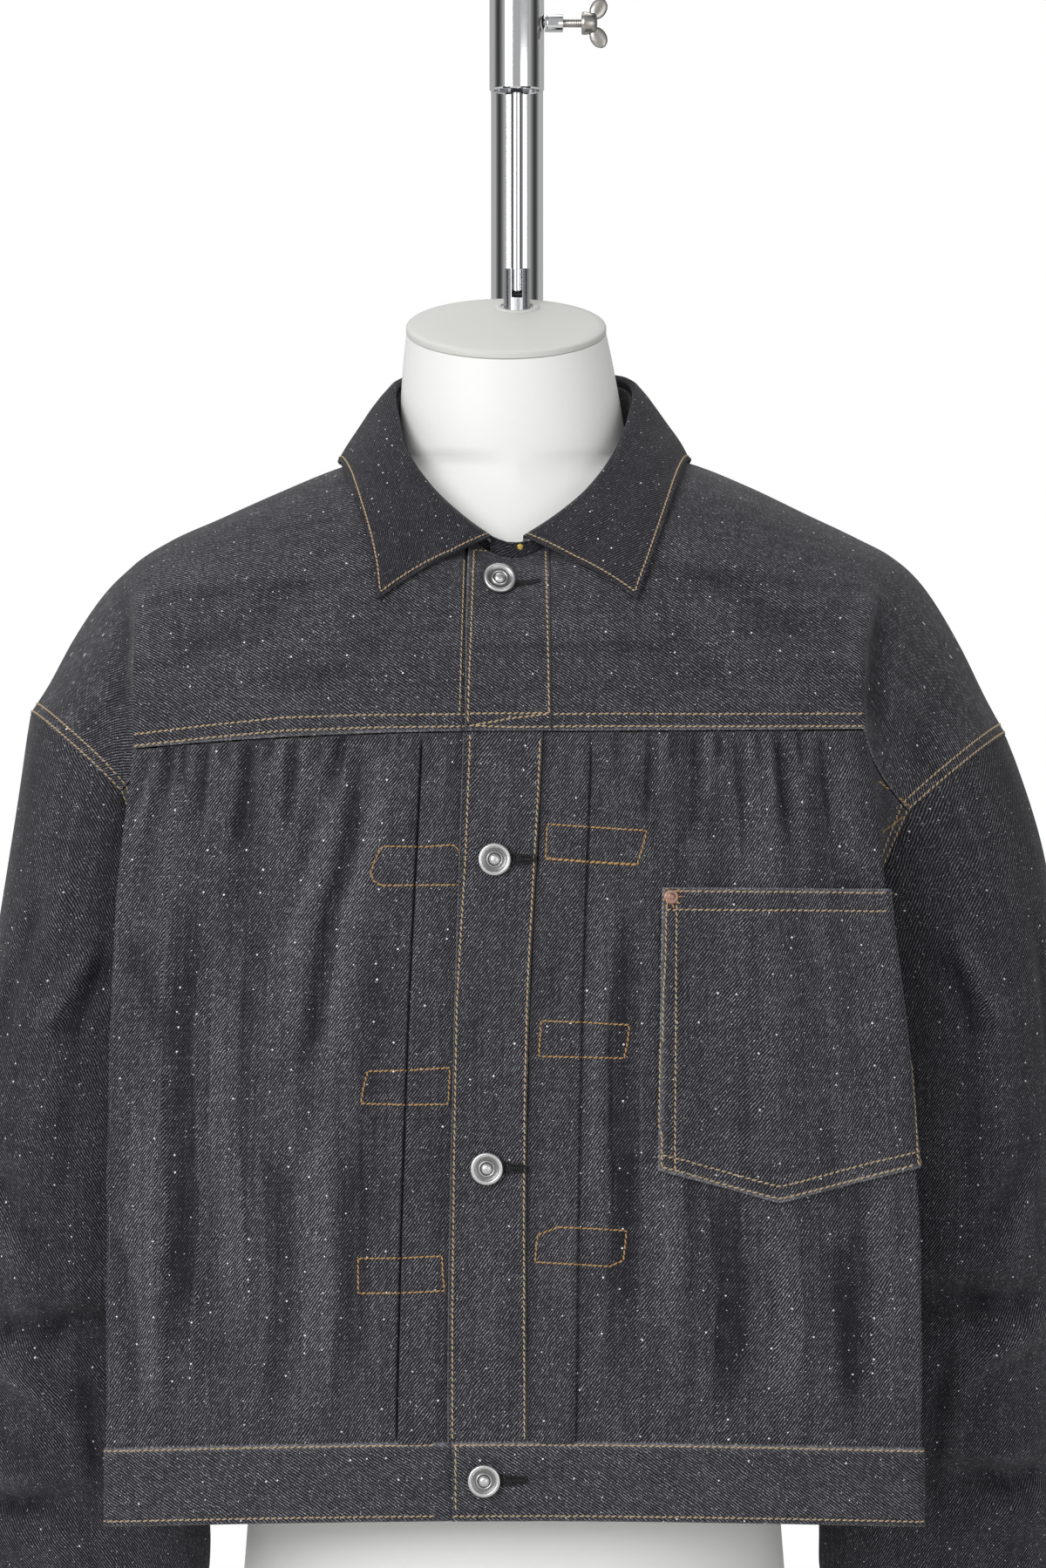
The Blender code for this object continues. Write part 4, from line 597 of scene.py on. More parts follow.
# gathers: place (pleatAt at the pleat, 1 at the side crease), out, width, reach down, lean
folds = {
    -1: ((0.3, 0.0016, 0.02, 0.05, 0.0), (0.355, 0.0013, 0.018, 0.04, 0.0), (0.43, -0.0034, 0.022, 0.2, 0.24),
         (0.485, 0.0018, 0.022, 0.07, 0.0), (0.545, 0.0014, 0.018, 0.05, 0.0), (0.6, 0.0017, 0.02, 0.06, 0.0),
         (0.66, -0.0016, 0.018, 0.09, 0.08), (0.72, 0.0017, 0.02, 0.06, 0.0), (0.78, 0.0014, 0.018, 0.05, 0.0),
         (0.84, 0.0018, 0.02, 0.06, 0.0), (0.9, -0.0028, 0.022, 0.09, 0.1), (0.95, 0.0015, 0.018, 0.05, 0.0)),
    1: ((0.31, 0.0015, 0.018, 0.05, 0.0), (0.37, 0.0017, 0.02, 0.06, 0.0), (0.44, 0.0014, 0.018, 0.05, 0.0),
        (0.5, -0.0022, 0.022, 0.12, -0.04), (0.56, 0.0024, 0.024, 0.12, -0.03), (0.625, 0.0014, 0.018, 0.05, 0.0),
        (0.685, 0.0017, 0.02, 0.06, 0.0), (0.745, -0.0016, 0.018, 0.08, 0.05), (0.805, 0.0018, 0.02, 0.06, 0.0),
        (0.865, 0.0014, 0.018, 0.05, 0.0), (0.93, 0.0018, 0.022, 0.08, 0.04)),
}
# swells: place (0 at the pleat, 1 at the side crease), out, width
swells = {-1: ((0.36, 0.0022, 0.1), (0.62, -0.0026, 0.09), (0.8, 0.0024, 0.08)),
          1: ((0.42, -0.002, 0.09), (0.6, 0.0024, 0.09), (0.82, -0.0022, 0.08))}
backSwells = ((-0.72, 0.004, 0.11), (-0.42, -0.0045, 0.13), (-0.08, 0.003, 0.12), (0.3, -0.005, 0.12),
              (0.66, 0.0045, 0.12))


def relief(side, a, v):
    across = (a - pleatAt) / (creaseAt - pleatAt)
    below = (1.0 - v) * panelHeight
    out = np.zeros(np.broadcast(a, v).shape)
    for place, height, width, reach, lean in folds[side]:
        spot = (place - pleatAt) / (1 - pleatAt) + lean * np.minimum(below / 0.15, 1.0)
        out = out + height * bell(across - spot, width * (1 + below / 0.1)) * bell(below, reach)
    for place, height, width in swells[side]:
        out = out + height * bell(across - place, width) * eased(below / 0.08) * eased(v / 0.15)
    out = out * eased((1 - across) / 0.1)
    proud = pleatDepth * eased(a / (0.4 * pleatAt)) * eased((1.02 - v) / 0.08)
    return np.where(across <= 0, proud, out)


fronts = {
    # creases: depth, width and then the line, all in millimetres: x from the centre and height from
    # the chest line, in turn
    -1: dict(node="front_right", name="frontRight", flat=(0.42, 0.43), area=0.156,
             crevice=(0.003, 0.002), creases=(
        (-3.2, 6.5, -87, 29, -94, -28, -108, -74, -114, -128, -117, -150, -148, -187),
        (2.4, 7.5, -78, 24, -84, -34, -96, -80, -102, -130, -108, -190),
        (2.0, 9.0, -101, 10, -110, -40, -124, -90, -132, -150), (-2.4, 5.0, -216, 22, -222, -2, -231, -24),
        (1.8, 5.0, -206, 22, -213, -6, -222, -36), (-2.2, 3.0, -203, 27, -204, 10, -207, -12),
        (-1.6, 2.6, -193, 27, -194, 8, -193, -6), (-2.2, 2.9, -181, 28, -182, 6, -185, -26),
        (-1.6, 2.6, -168, 28, -169, 10), (-2.4, 3.2, -156, 30, -158, 2, -165, -42),
        (-1.7, 2.6, -142, 30, -143, 12), (-2.5, 3.2, -128, 31, -130, 4, -134, -36), (-1.8, 2.7, -113, 32, -114, 8),
        (-2.0, 2.9, -101, 32, -102, 14, -106, -10), (-1.3, 2.6, -74, 33, -74, 14), (-1.2, 2.4, -66, 33, -66, 20),
        (1.5, 3.2, -187, 27, -188, -6), (1.5, 3.2, -149, 29, -151, -6), (1.7, 3.4, -121, 31, -123, -18),
        (1.4, 3.0, -174, 28, -175, 2), (1.2, 3.0, -135, 30, -136, 2),
        (-2.6, 17.0, -188, -50, -198, -150, -194, -250, -203, -370),
        (2.2, 15.0, -166, -80, -170, -200, -160, -350), (-2.4, 13.0, -140, -200, -133, -300, -140, -380),
        (1.9, 12.0, -118, -190, -112, -290, -118, -375), (-1.8, 11.0, -96, -200, -92, -290, -98, -375),
        (-1.6, 10.0, -78, -80, -82, -190, -80, -300), (2.0, 14.0, -214, -170, -220, -260, -216, -370),
        (-1.8, 7.0, -234, -85, -216, -116, -203, -165), (1.6, 8.0, -230, -236, -214, -300, -210, -370),
        (-1.5, 8.0, -232, -262, -222, -310, -226, -372))),
    1: dict(node="front_left", name="frontLeft", flat=(0.385, 0.427), area=0.145,
            crevice=(0.001, 0.0026), creases=(
        (-1.9, 2.8, 38, 33, 37, 8, 36, -28), (-1.5, 2.5, 60, 33, 60, 12), (-2.2, 3.0, 80, 33, 79, 6, 76, -28),
        (-1.7, 2.7, 94, 33, 94, 10), (-2.4, 3.0, 107, 33, 107, 4, 104, -38), (-1.7, 2.7, 120, 33, 121, 10),
        (-2.5, 3.2, 130, 33, 132, 0, 136, -44), (-1.8, 2.8, 143, 33, 144, 8),
        (-2.5, 3.2, 156, 34, 158, 2, 163, -42), (-1.8, 2.7, 168, 34, 169, 10),
        (-2.2, 3.0, 179, 34, 182, 6, 188, -30), (-1.6, 2.6, 192, 33, 194, 10), (1.6, 3.3, 113, 33, 114, -14),
        (1.5, 3.2, 150, 33, 152, -16), (1.2, 3.0, 87, 33, 87, -10), (1.3, 3.0, 173, 34, 175, 0),
        (1.2, 3.0, 70, 33, 70, 2), (-2.2, 14.0, 70, -60, 64, -150, 66, -260, 60, -370),
        (2.0, 12.0, 98, -100, 92, -220, 96, -350), (-2.0, 13.0, 122, -226, 128, -300, 124, -378),
        (2.0, 13.0, 156, -246, 162, -320, 156, -380), (-2.4, 12.0, 196, -36, 204, -120, 208, -226),
        (1.5, 9.0, 212, -230, 219, -300, 222, -370), (-1.7, 9.0, 186, -262, 198, -320, 202, -380),
        (1.5, 9.0, 48, -60, 46, -160, 48, -300))),
}
frontGrid = dict(rows=126, inner=11, face=128, side=28)


def frontColumns():
    inner = spread(0.0, pleatAt, frontGrid["inner"])[:-2] + [pleatAt - d for d in (0.022, 0.008, 0.003, 0.0006)]
    start = [pleatAt + d for d in (0.0014, 0.0032, 0.005, 0.0075, 0.011)]
    face = spread(pleatAt + 0.015, creaseAt, frontGrid["face"])
    return [0.0, 0.002] + inner[1:] + start + face + spread(creaseAt, 1 - 0.0005, frontGrid["side"])[1:]


def frontRows():
    top = spread(0.96, 1 - seamBend / panelHeight, 22)
    return [0.0, 0.0022] + spread(0.006, 0.955, frontGrid["rows"] - len(top)) + top


def frontOut(side, a, v, base):
    # how far the cloth stands out, and the shade painted into its colour: painted highlight (up to 1) on ridges,
    # painted shade (down to -1) in troughs
    piece = fronts[side]
    flat = base[..., [0, 2]]
    fade = eased((1 - a) / 0.12) * np.where(a < pleatAt + 0.02, eased((a - pleatAt - 0.004) / 0.03), 1.0)
    tucked = eased((1 - v) / 0.0075)  # flat where it is held under the yoke
    depth, width = piece["crevice"]
    crease = creased(flat, piece["creases"]) * fade * eased(np.abs(a - creaseAt) / 0.04)
    folded = relief(side, a, v)
    out = folded * mix(0.25, 1.0, tucked) + crease * mix(0.15, 1.0, tucked)
    out = out - 0.0003 * (1 - tucked) * (a > 0.01)
    # the folded pleat edge lies on a narrow gap, cut into the cloth and darkened further with painted shade
    gap = bell(a - (pleatAt + 0.0032), width) * eased((1.0 - v) / 0.03) * eased(v / 0.02)
    # painted highlight on the ridges and painted shade in the troughs of the creases and gathers
    shade = crease * 460 + (folded - pleatDepth * (a < pleatAt)) * 160 - gap * depth * 500
    # painted shadow just below the yoke's edge, over the top few millimetres of the front
    shade = shade - 0.8 * (1 - eased((1 - v) / 0.0055))
    out = out - depth * gap
    waver = np.sin(flat[..., 0] * 310 + 3 * np.sin(flat[..., 1] * 41))
    return out + 0.00025 * waver * eased(a / 0.1) * eased((1 - a) / 0.1), shade


def lapped(rows, face, *parts):
    # the wearer's right runs on under the button strip: grid, out and shade each get their lap
    reach, up = np.meshgrid([mix(-0.0008, underReach, t) for t in spread(1.0, 0.0, 9)], rows)
    laps = face(reach, up), np.full(reach.shape, -0.0017), reach * 0
    return (np.concatenate(pair, axis=1)[:, ::-1] for pair in zip(laps, parts))


def makeFront(side):
    piece = fronts[side]
    columns, rows = frontColumns(), frontRows()
    a, v = np.meshgrid(columns, rows)
    base = frontPoint(side, a, v)
    out, shade = frontOut(side, a, v, base)
    if side < 0:
        base, out, shade = lapped(
            rows, lambda reach, up: frontFace(placketX("freeX", up) + reach, up), base, out, shade)
    made = shell(piece["name"], raised(base, out), cloth, [body, inside], shade=shade)
    assign(made, piece["node"], "hung")


for side in (-1, 1):
    makeFront(side)
print("lower fronts made")


yokes = {
    -1: dict(node="yoke_right", name="yokeRight", flat=(0.28, 0.255), area=0.063, creases=(
        (-0.9, 9.0, -236, 128, -232, 90, -234, 50, -236, 25), (0.7, 8.0, -224, 120, -222, 80, -225, 40),
        (-0.7, 12.0, -120, 120, -160, 95, -205, 84), (0.6, 12.0, -105, 95, -150, 72, -200, 62),
        (-0.5, 10.0, -70, 90, -110, 62, -150, 50), (-0.6, 9.0, -262, 60, -250, 30, -246, 5))),
    1: dict(node="yoke_left", name="yokeLeft", flat=(0.26, 0.255), area=0.06, creases=(
        (-1.0, 9.0, 225, 112, 214, 70, 213, 44, 217, 20), (0.8, 8.0, 213, 118, 203, 84, 202, 52),
        (-0.7, 12.0, 110, 128, 150, 100, 196, 90), (0.6, 12.0, 98, 100, 140, 74, 188, 66),
        (-0.5, 10.0, 60, 92, 100, 62, 150, 52), (-0.7, 9.0, 262, 66, 246, 36, 240, 0))),
}
seamLap = dict(out=0.0004, fall=0.0006)  # the yoke's folded edge stands over the gathers


def lippedRows(count):
    return [0.0, 0.006, 0.014, 0.026] + spread(0.045, 0.97, count) + [0.985, 1.0]


def lip(grid, rows):
    # the lowest row hangs a little lower and all near it stands out
    near = bell(np.asarray(rows), 0.16)[:, None]
    grid = grid.copy()
    grid[..., 2] -= seamLap["fall"] * bell(np.asarray(rows), 0.01)[:, None]
    return grid, seamLap["out"] * near


def makeYoke(side):
    piece = yokes[side]
    columns = [0.0, 0.004] + spread(0.012, creaseAt, 74) + spread(creaseAt, 0.995, 26)[1:] + [1.0]
    rows = lippedRows(58)
    a, w = np.meshgrid(columns, rows)
    base = yokePoint(side, a, w)
    out = creased(base[..., [0, 2]], piece["creases"])
    out = 2.4 * out * eased(w / 0.12) * eased((1 - w) / 0.12) * eased((1 - a) / 0.05)
    # painted highlight on the yoke's ridges and painted shade in its troughs
    shade = out * 300
    if side < 0:
        foot, top = (column(placket, "freeX", yokeSeamH + rise, "h") for rise in (0.0, stripRise))
        base, out, shade = lapped(
            rows, lambda reach, up: leanFace(foot + reach, top + reach, up), base, out, shade)
    base, lift = lip(base, rows)
    keep = 1.0 if side > 0 else (out > -0.0016)
    pale = 0.55 * bell(np.asarray(rows), 0.005)[:, None] * np.ones(base.shape[:2])
    made = shell(piece["name"], raised(base, out + lift * keep), cloth, [yokeCloth, inside], grain=1, pale=pale,
                 shade=shade, level=0.0)
    assign(made, piece["node"], "hung")


plackets = dict(proud=0.001, wider=(0.005, 0.003), spare=0.0012, thickness=0.0022, roll=0.0005,
                upperFlat=(0.051, 0.141), lowerFlat=(0.044, 0.417))


def makePlackets():
    widths = [0.0, 0.012, 0.03] + spread(0.06, 0.94, 18) + [0.97, 0.988, 1.0]
    t, w = np.meshgrid(widths, lippedRows(50))
    foot, top = (mix(column(placket, "freeX", h, "h"), column(placket, "foldX", h, "h") + wider, t)
                 for h, wider in zip((yokeSeamH, yokeSeamH + stripRise), plackets["wider"]))
    base, lift = lip(leanFace(foot, top, w), lippedRows(50))
    edge = plackets["roll"] * (bell(t, 0.06) + bell(1 - t, 0.06))
    pale = 0.5 * bell(t, 0.012) + 0.5 * bell(w, 0.005)
    upper = shell("placketUpper", raised(base, plackets["proud"] + edge + lift), plackets["thickness"],
                  [yokeCloth, inside], grain=1, pale=pale, level=0.0)
    assign(upper, "placket_upper", "hung")
    t, v = np.meshgrid(widths, [0.0, 0.0022] + spread(0.006, 0.99, 120) + [1 - seamBend / panelHeight])
    base = frontFace(mix(placketX("freeX", v) - plackets["spare"], placketX("foldX", v), t), v)
    edge = plackets["roll"] * (bell(t, 0.06) + bell(1 - t, 0.06))
    edge = edge + 0.0004 * np.sin(v * 37 + 2 * t) * eased(v / 0.1) * eased((1 - v) / 0.1)
    pale = 0.5 * bell(t, 0.012)
    lower = shell("placketLower", raised(base, plackets["proud"] + edge), plackets["thickness"],
                  [body, inside], pale=pale)
    assign(lower, "placket_lower", "hung")


backPiece = dict(flat=(0.56, 0.666), area=0.32, creases=(
    (-1.6, 16.0, -150, 60, -120, -10, -70, -60), (1.2, 14.0, -165, 30, -130, -40, -90, -95),
    (-1.4, 15.0, 155, 50, 118, -20, 75, -75), (1.1, 14.0, 168, 22, 136, -45, 100, -110),
    (-1.2, 13.0, -60, -150, -52, -260, -66, -370), (1.0, 12.0, -30, -180, -24, -280, -34, -380),
    (-1.0, 12.0, 40, -170, 52, -270, 46, -380), (0.9, 12.0, 80, -200, 92, -300, 88, -380),
    (-0.9, 10.0, -60, 120, 0, 108, 60, 122), (0.7, 10.0, -80, 92, 0, 80, 80, 94),
    (-1.0, 9.0, -172, -120, -150, -160, -140, -230), (-1.0, 9.0, 174, -110, 150, -158, 138, -220)))


def makeBack():
    side = np.array([-u for u in spread(1.0, 0.0, 62)] + spread(0.0, 1.0, 62)[1:])
    rows = [0.0, 0.0022] + spread(0.006, 1.0, 84) + [1 + w for w in spread(0.0, 1.0, 44)[1:]]
    s, v = np.meshgrid(side, rows)
    base = np.where((s >= 0)[..., None], backPoint(1, np.abs(s), v), backPoint(-1, np.abs(s), v))
    out = 2.2 * creased(base[..., [0, 2]], backPiece["creases"]) * eased((1 - np.abs(s)) / 0.12)
    out = out * eased(v / 0.06) * eased((2 - v) / 0.12)
    grid = base - normalsOf(base) * out[..., None]
    # painted highlight on the back's ridges and painted shade in its troughs
    made = shell("backPanel", grid, cloth, [body, inside], flip=True, shade=out * 260, level=0.6)
    assign(made, "back", "hung")


for side in (-1, 1):
    makeYoke(side)
makePlackets()
makeBack()
print("yokes, button strip and back made")


sleeveRings = dict(h=(-0.078, -0.125, -0.18, -0.245, -0.33, -0.4, -0.455, -0.486, -0.497, -0.5),
                   lean=(0.088, 0.062, 0.032, 0.008, 0, 0, 0, 0, 0, 0),
                   x=(0.253, 0.259, 0.263, 0.265, 0.265, 0.263, 0.2605, 0.2595, 0.259, 0.259),
                   y=(0.012, 0.02, 0.026, 0.028, 0.024, 0.018, 0.014, 0.012, 0.01, 0.01),
                   halfWidth=(0.066, 0.069, 0.071, 0.0725, 0.0735, 0.0725, 0.0725, 0.071, 0.06, 0.05),
                   halfDepth=(0.086, 0.081, 0.076, 0.069, 0.059, 0.05, 0.043, 0.04, 0.037, 0.035))
sleeveShift = {-1: -0.0085, 1: 0.012}
# main creases: height, degrees round (0 outside, 90 in front), out, height and degrees it spreads
sleeveCreases = {
    -1: ((-0.3, 100, 0.006, 0.016, 55), (-0.329, 120, -0.011, 0.009, 60), (-0.355, 100, 0.0065, 0.014, 60),
         (-0.436, 80, -0.008, 0.008, 65), (-0.462, 80, 0.006, 0.013, 70), (-0.13, 120, -0.008, 0.035, 40),
         (-0.325, 280, -0.007, 0.012, 60), (-0.4, 250, -0.006, 0.012, 60)),
    1: ((-0.286, 90, 0.006, 0.016, 55), (-0.313, 105, -0.01, 0.009, 55), (-0.34, 90, 0.006, 0.014, 60),
        (-0.42, 70, -0.007, 0.009, 65), (-0.448, 75, 0.005, 0.013, 70), (-0.12, 125, -0.008, 0.035, 40),
        (-0.318, 270, -0.007, 0.012, 60), (-0.395, 255, -0.006, 0.012, 60)),
}
sleeves = {
    # lines in millimetres: the way round the sleeve from its outer side (75 is the middle of the
    # front) and height, in turn
    -1: dict(node="sleeve_right", name="sleeveRight", flat=(0.5, 0.565), area=0.208, creases=(
        (-2.2, 9.0, 112, -96, 100, -130, 84, -168), (1.6, 9.0, 98, -92, 86, -128, 72, -160),
        (-1.4, 8.0, 60, -60, 52, -110, 46, -170), (1.0, 8.0, 74, -50, 68, -100),
        (-2.0, 6.0, 120, -322, 98, -331, 70, -332, 40, -327), (1.8, 7.0, 36, -338, 60, -352, 92, -376, 110, -402),
        (-1.6, 6.5, 110, -352, 118, -388, 122, -430), (-1.8, 5.0, 34, -436, 66, -441, 100, -437),
        (1.0, 6.0, 40, -424, 70, -428, 98, -420), (-1.0, 6.0, 52, -392, 66, -408, 92, -416),
        (-1.2, 8.0, 58, -230, 72, -262, 98, -290), (0.9, 8.0, 48, -240, 60, -272, 84, -300),
        (-1.0, 7.0, 20, -150, 18, -210, 26, -270), (-1.4, 8.0, 150, -180, 160, -240, 150, -300),
        (-1.4, 8.0, 300, -120, 320, -180, 330, -250), (-1.6, 8.0, 250, -300, 290, -318, 330, -310),
        (1.3, 8.0, 248, -322, 290, -342, 336, -334), (-1.4, 7.0, 240, -396, 280, -404, 320, -398),
        (-1.2, 8.0, 210, -160, 220, -230, 216, -300))),
    1: dict(node="sleeve_left", name="sleeveLeft", flat=(0.5, 0.565), area=0.208, creases=(
        (-2.2, 9.0, 114, -88, 102, -122, 88, -160), (1.6, 9.0, 100, -84, 88, -120, 74, -156),
        (-1.2, 8.0, 48, -70, 40, -120, 36, -190), (-1.8, 6.0, 116, -306, 94, -314, 66, -315, 40, -308),
        (1.5, 7.0, 40, -322, 64, -336, 94, -352, 112, -380), (-1.3, 6.5, 112, -340, 116, -376, 120, -420),
        (-1.6, 5.0, 36, -420, 66, -427, 100, -420), (1.0, 6.0, 42, -408, 72, -412, 98, -404),
        (-1.2, 8.0, 60, -214, 74, -250, 100, -280), (0.9, 8.0, 50, -226, 62, -260, 86, -290),
        (-1.0, 7.0, 18, -160, 16, -220, 24, -280), (-1.4, 8.0, 150, -190, 160, -250, 150, -310),
        (-1.4, 8.0, 302, -130, 322, -190, 332, -260), (-1.6, 8.0, 252, -306, 292, -322, 330, -316),
        (1.3, 8.0, 250, -330, 292, -348, 338, -340), (-1.4, 7.0, 242, -392, 282, -400, 322, -394),
        (-1.2, 8.0, 212, -150, 222, -220, 218, -290))),
}
sleeveTuck = dict(under=0.003, inside=0.0018, step=0.0004)
sleeveRadius = 0.0715  # turns the angle round a sleeve into a distance for its creases


def sleeveRing(side, k, turns):
    stops = range(10)
    centreH, lean, x, y, halfWidth, halfDepth = (smooth(stops, row, k) for row in sleeveRings.values())
    x = x + sleeveShift[side] * bell(k - 0.9, 1.3)
    out = 0.0
    for h, turn, height, tall, wide in sleeveCreases[side]:
        away = (np.degrees(turns) - turn + 180) % 360 - 180
        out = out + height * bell(centreH + lean * np.cos(turns) - h, tall) * bell(away, wide)
    return joined(side * (x + (halfWidth + out) * np.cos(turns)), y - (halfDepth + out) * np.sin(turns),
                  centreH + lean * np.cos(turns))


def armhole(side, rise, up):
    front = [yokePoint(side, 1.0, np.array(rise[:0:-1])), frontPoint(side, 1.0, np.array(up[::-1]))]
    back = [backPoint(side, 1.0, np.array(up[1:])), backPoint(side, 1.0, 1 + np.array(rise[1:-1]))]
    return np.concatenate(front + back)


def loopTurns(loop):
    steps = np.linalg.norm(np.roll(loop, -1, axis=0) - loop, axis=1)
    return 2 * math.pi * np.concatenate([[0], np.cumsum(steps)[:-1]]) / steps.sum()


def makeSleeve(side):
    piece = sleeves[side]
    loop = armhole(side, spread(0.0, 1.0, 34), spread(armholeV, 1.0, 26, 0.9))
    turns = loopTurns(loop)
    shape = loop - sleeveRing(side, 0.0, turns)
    ks = spread(0.16, 6.0, 118) + spread(6.05, 9.0, 22)
    rings = [sleeveRing(side, k, turns) + shape * max(1 - k / 3.0, 0.0) ** 2 for k in ks]
    away = rings[4] - loop
    away = away / np.linalg.norm(away, axis=1, keepdims=True)
    # the first row is tucked under the body's edge
    grid = np.array([loop - away * sleeveTuck["under"], loop + away * seamBend] + rings)
    flat = joined(turns[None, :] * sleeveRadius + np.zeros(len(grid))[:, None], grid[..., 2])
    share = (np.arange(len(grid)) / len(grid))[:, None]
    out = 1.7 * creased(flat, piece["creases"]) * eased(share / 0.08) * eased((1 - share) / 0.1)
    # painted highlight on the sleeve's ridges and painted shade in its troughs
    shade = out * 260
    # small puckers where the sleeve is gathered into its cuff
    out = out + 0.0008 * np.sin(turns * 19 + 1.5 * np.sin(turns * 3)) * bell(share - 0.93, 0.06)
    out[0] = out[0] - sleeveTuck["inside"]
    out[1] = out[1] - sleeveTuck["step"]
    way = -1 if side < 0 else 1
    grid = grid + normalsOf(grid, True) * (way * out)[..., None]
    made = shell(piece["name"], grid, cloth, [shadedSleeveCloth, inside], wrap=True, flip=side < 0, shade=shade)
    assign(made, piece["node"], "hung")


cuffSizes = dict(centre=(0.259, 0.01), top=(0.0495, 0.0345), bottom=(0.0475, 0.033), h=-0.5004, height=0.05,
                 lap=0.022, step=0.0013, opening=math.radians(250), flat=(0.29, 0.05))


def cuffPoint(side, turn, drop, out):
    halfWidth, halfDepth = (mix(t, b, drop) for t, b in zip(cuffSizes["top"], cuffSizes["bottom"]))
    x, y = cuffSizes["centre"]
    h = cuffSizes["h"] - cuffSizes["height"] * drop
    return joined(side * (x + (halfWidth + out) * np.cos(turn)), y - (halfDepth + out) * np.sin(turn), h)


def makeCuff(side):
    lap = cuffSizes["lap"] / cuffSizes["top"][0]
    turns = spread(cuffSizes["opening"], cuffSizes["opening"] + 2 * math.pi + lap, 100)

    def place(turn, drop):
        over, under = eased((turn - turns[-1] + 2 * lap) / lap), eased((turns[0] + 2 * lap - turn) / lap)
        return cuffPoint(side, turn, drop, cuffSizes["step"] * (over - under) + 0.0002 * np.sin(turn * 9) * drop)

    grid = gridOf(place, [0.0, 0.012] + spread(0.03, 0.97, 12) + [0.988, 1.0], turns)
    name, node = ("cuffRight", "cuff_right") if side < 0 else ("cuffLeft", "cuff_left")
    made = shell(name, grid, double, [bandCloth, inside], flip=side < 0, grain=1)
    assign(made, node, "hung")


for side in (-1, 1):
    makeSleeve(side)
    makeCuff(side)
print("sleeves and cuffs made")


bandSizes = dict(proud=0.0014, lapUp=0.0027, top=0.0024, under=-0.0008, flat=(1.328, 0.0444))


def makeWaistband():
    free, fold = float(placketX("freeX", 0.0)), float(placketX("foldX", 0.0))
    crease = float(creasePoint(1, 0.0)[0])
    proud, top, under = bandSizes["proud"], bandSizes["top"], bandSizes["under"]
    path = [(frontFace(x, 0.0), under) for x in spread(free + underReach, free + 0.001, 10)]
    path += [(frontFace(x, 0.0), proud) for x in spread(free - 0.003, -crease, 70)]
    path += [(frontSide(-1, q, 0.0), proud) for q in spread(0.06, 0.94, 24)]
    path += [(backPoint(-1, u, 0.0), proud) for u in spread(1.0, 0.0, 50)]
    path += [(backPoint(1, u, 0.0), proud) for u in spread(0.0, 1.0, 50)[1:]]
    path += [(frontSide(1, q, 0.0), proud) for q in spread(0.94, 0.06, 24)]
    path += [(frontFace(x, 0.0), proud) for x in spread(crease, fold + 0.004, 60)]
    path += [(frontFace(x, 0.0), top) for x in spread(fold, free + 0.001, 14)]
    line = np.array([np.asarray(point, float).reshape(3) for point, _ in path])
    out = np.array([o for _, o in path])
    drops = [-0.02, 0.0, 0.03] + spread(0.07, 0.93, 14) + [0.97, 0.988, 1.0]
    grid = np.array([line - (0, 0, seam + max(drop, 0.004) * bandHeight) for drop in drops])
    drops = np.asarray(drops)[:, None]
    wave = 0.0003 * np.sin(np.arange(len(path)) * 0.45)[None, :]
    wave = wave * eased(drops / 0.2) * eased((1 - drops) / 0.2)
    # the top edge laps up over the gathered cloth
    grid[0, :, 2] = grid[1, :, 2] + bandSizes["lapUp"]
    grid[1, :, 2] += 0.0012
    outer = raised(grid, out[None, :] + wave + 0.0004 * bell(1 - drops, 0.08))
    pale = 0.55 * bell(drops, 0.02) + 0.3 * bell(1 - drops, 0.015) + np.zeros(len(path))[None, :]
    made = shell("waistStrip", outer, double, [bandCloth, inside], grain=1, pale=pale)
    assign(made, "waistband", "hung")
    return outer[3] + (0, 0, seam + float(drops[3, 0]) * bandHeight)


collarTable = dict(rollX=(0.0091, 0.025, 0.044, 0.061, 0.0715, 0.0752, 0.065, 0.036, 0.0),
                   rollY=(-0.09, -0.087, -0.078, -0.06, -0.03, 0.005, 0.045, 0.069, 0.075),
                   rollH=(0.1478, 0.159, 0.1765, 0.2, 0.225, 0.245, 0.2545, 0.256, 0.256),
                   edgeX=(0.0765, 0.0806, 0.0885, 0.099, 0.1055, 0.1075, 0.089, 0.05, 0.0),
                   edgeY=(-0.133, -0.122, -0.1, -0.06, -0.017, 0.022, 0.067, 0.095, 0.103),
                   edgeH=(0.1078, 0.1258, 0.153, 0.183, 0.1965, 0.1975, 0.194, 0.19, 0.188))
collarSizes = dict(shift=-0.004, tip=-0.0036, bulge=0.0045, gap=0.0014, flat=(0.66, 0.09), area=0.0396)


def shellSamples():
    points, normals = [], []
    across, rise = spread(0.0, 1.0, 60), spread(0.0, 1.0, 34)
    for side in (-1, 1):
        front = gridOf(lambda a, w: yokePoint(side, a, w), rise, across)
        back = gridOf(lambda u, w: backPoint(side, u, 1 + w), rise, across)
        for grid, turn in ((front, side), (back, -side)):
            points.append(grid.reshape(-1, 3))
            normals.append(turn * normalsOf(grid).reshape(-1, 3))
    return np.concatenate(points), np.concatenate(normals)


def above(point, samples, gap):
    points, normals = samples
    nearest = np.argmin(((points - point) ** 2).sum(axis=1))
    height = float((point - points[nearest]) @ normals[nearest])
    return point + normals[nearest] * max(gap - height, 0.0)


def collarStation(side, k):
    values = [float(smooth(range(9), row, k)) for row in collarTable.values()]
    shift = collarSizes["shift"] * (1 - float(eased(k / 2.5 if side > 0 else k / 2.5 - 1.0)))
    edgeX = side * values[3] + collarSizes["tip"] * bell(k, 1.2)
    return np.array((side * values[0] + shift, *values[1:3])), np.array((edgeX, *values[4:]))


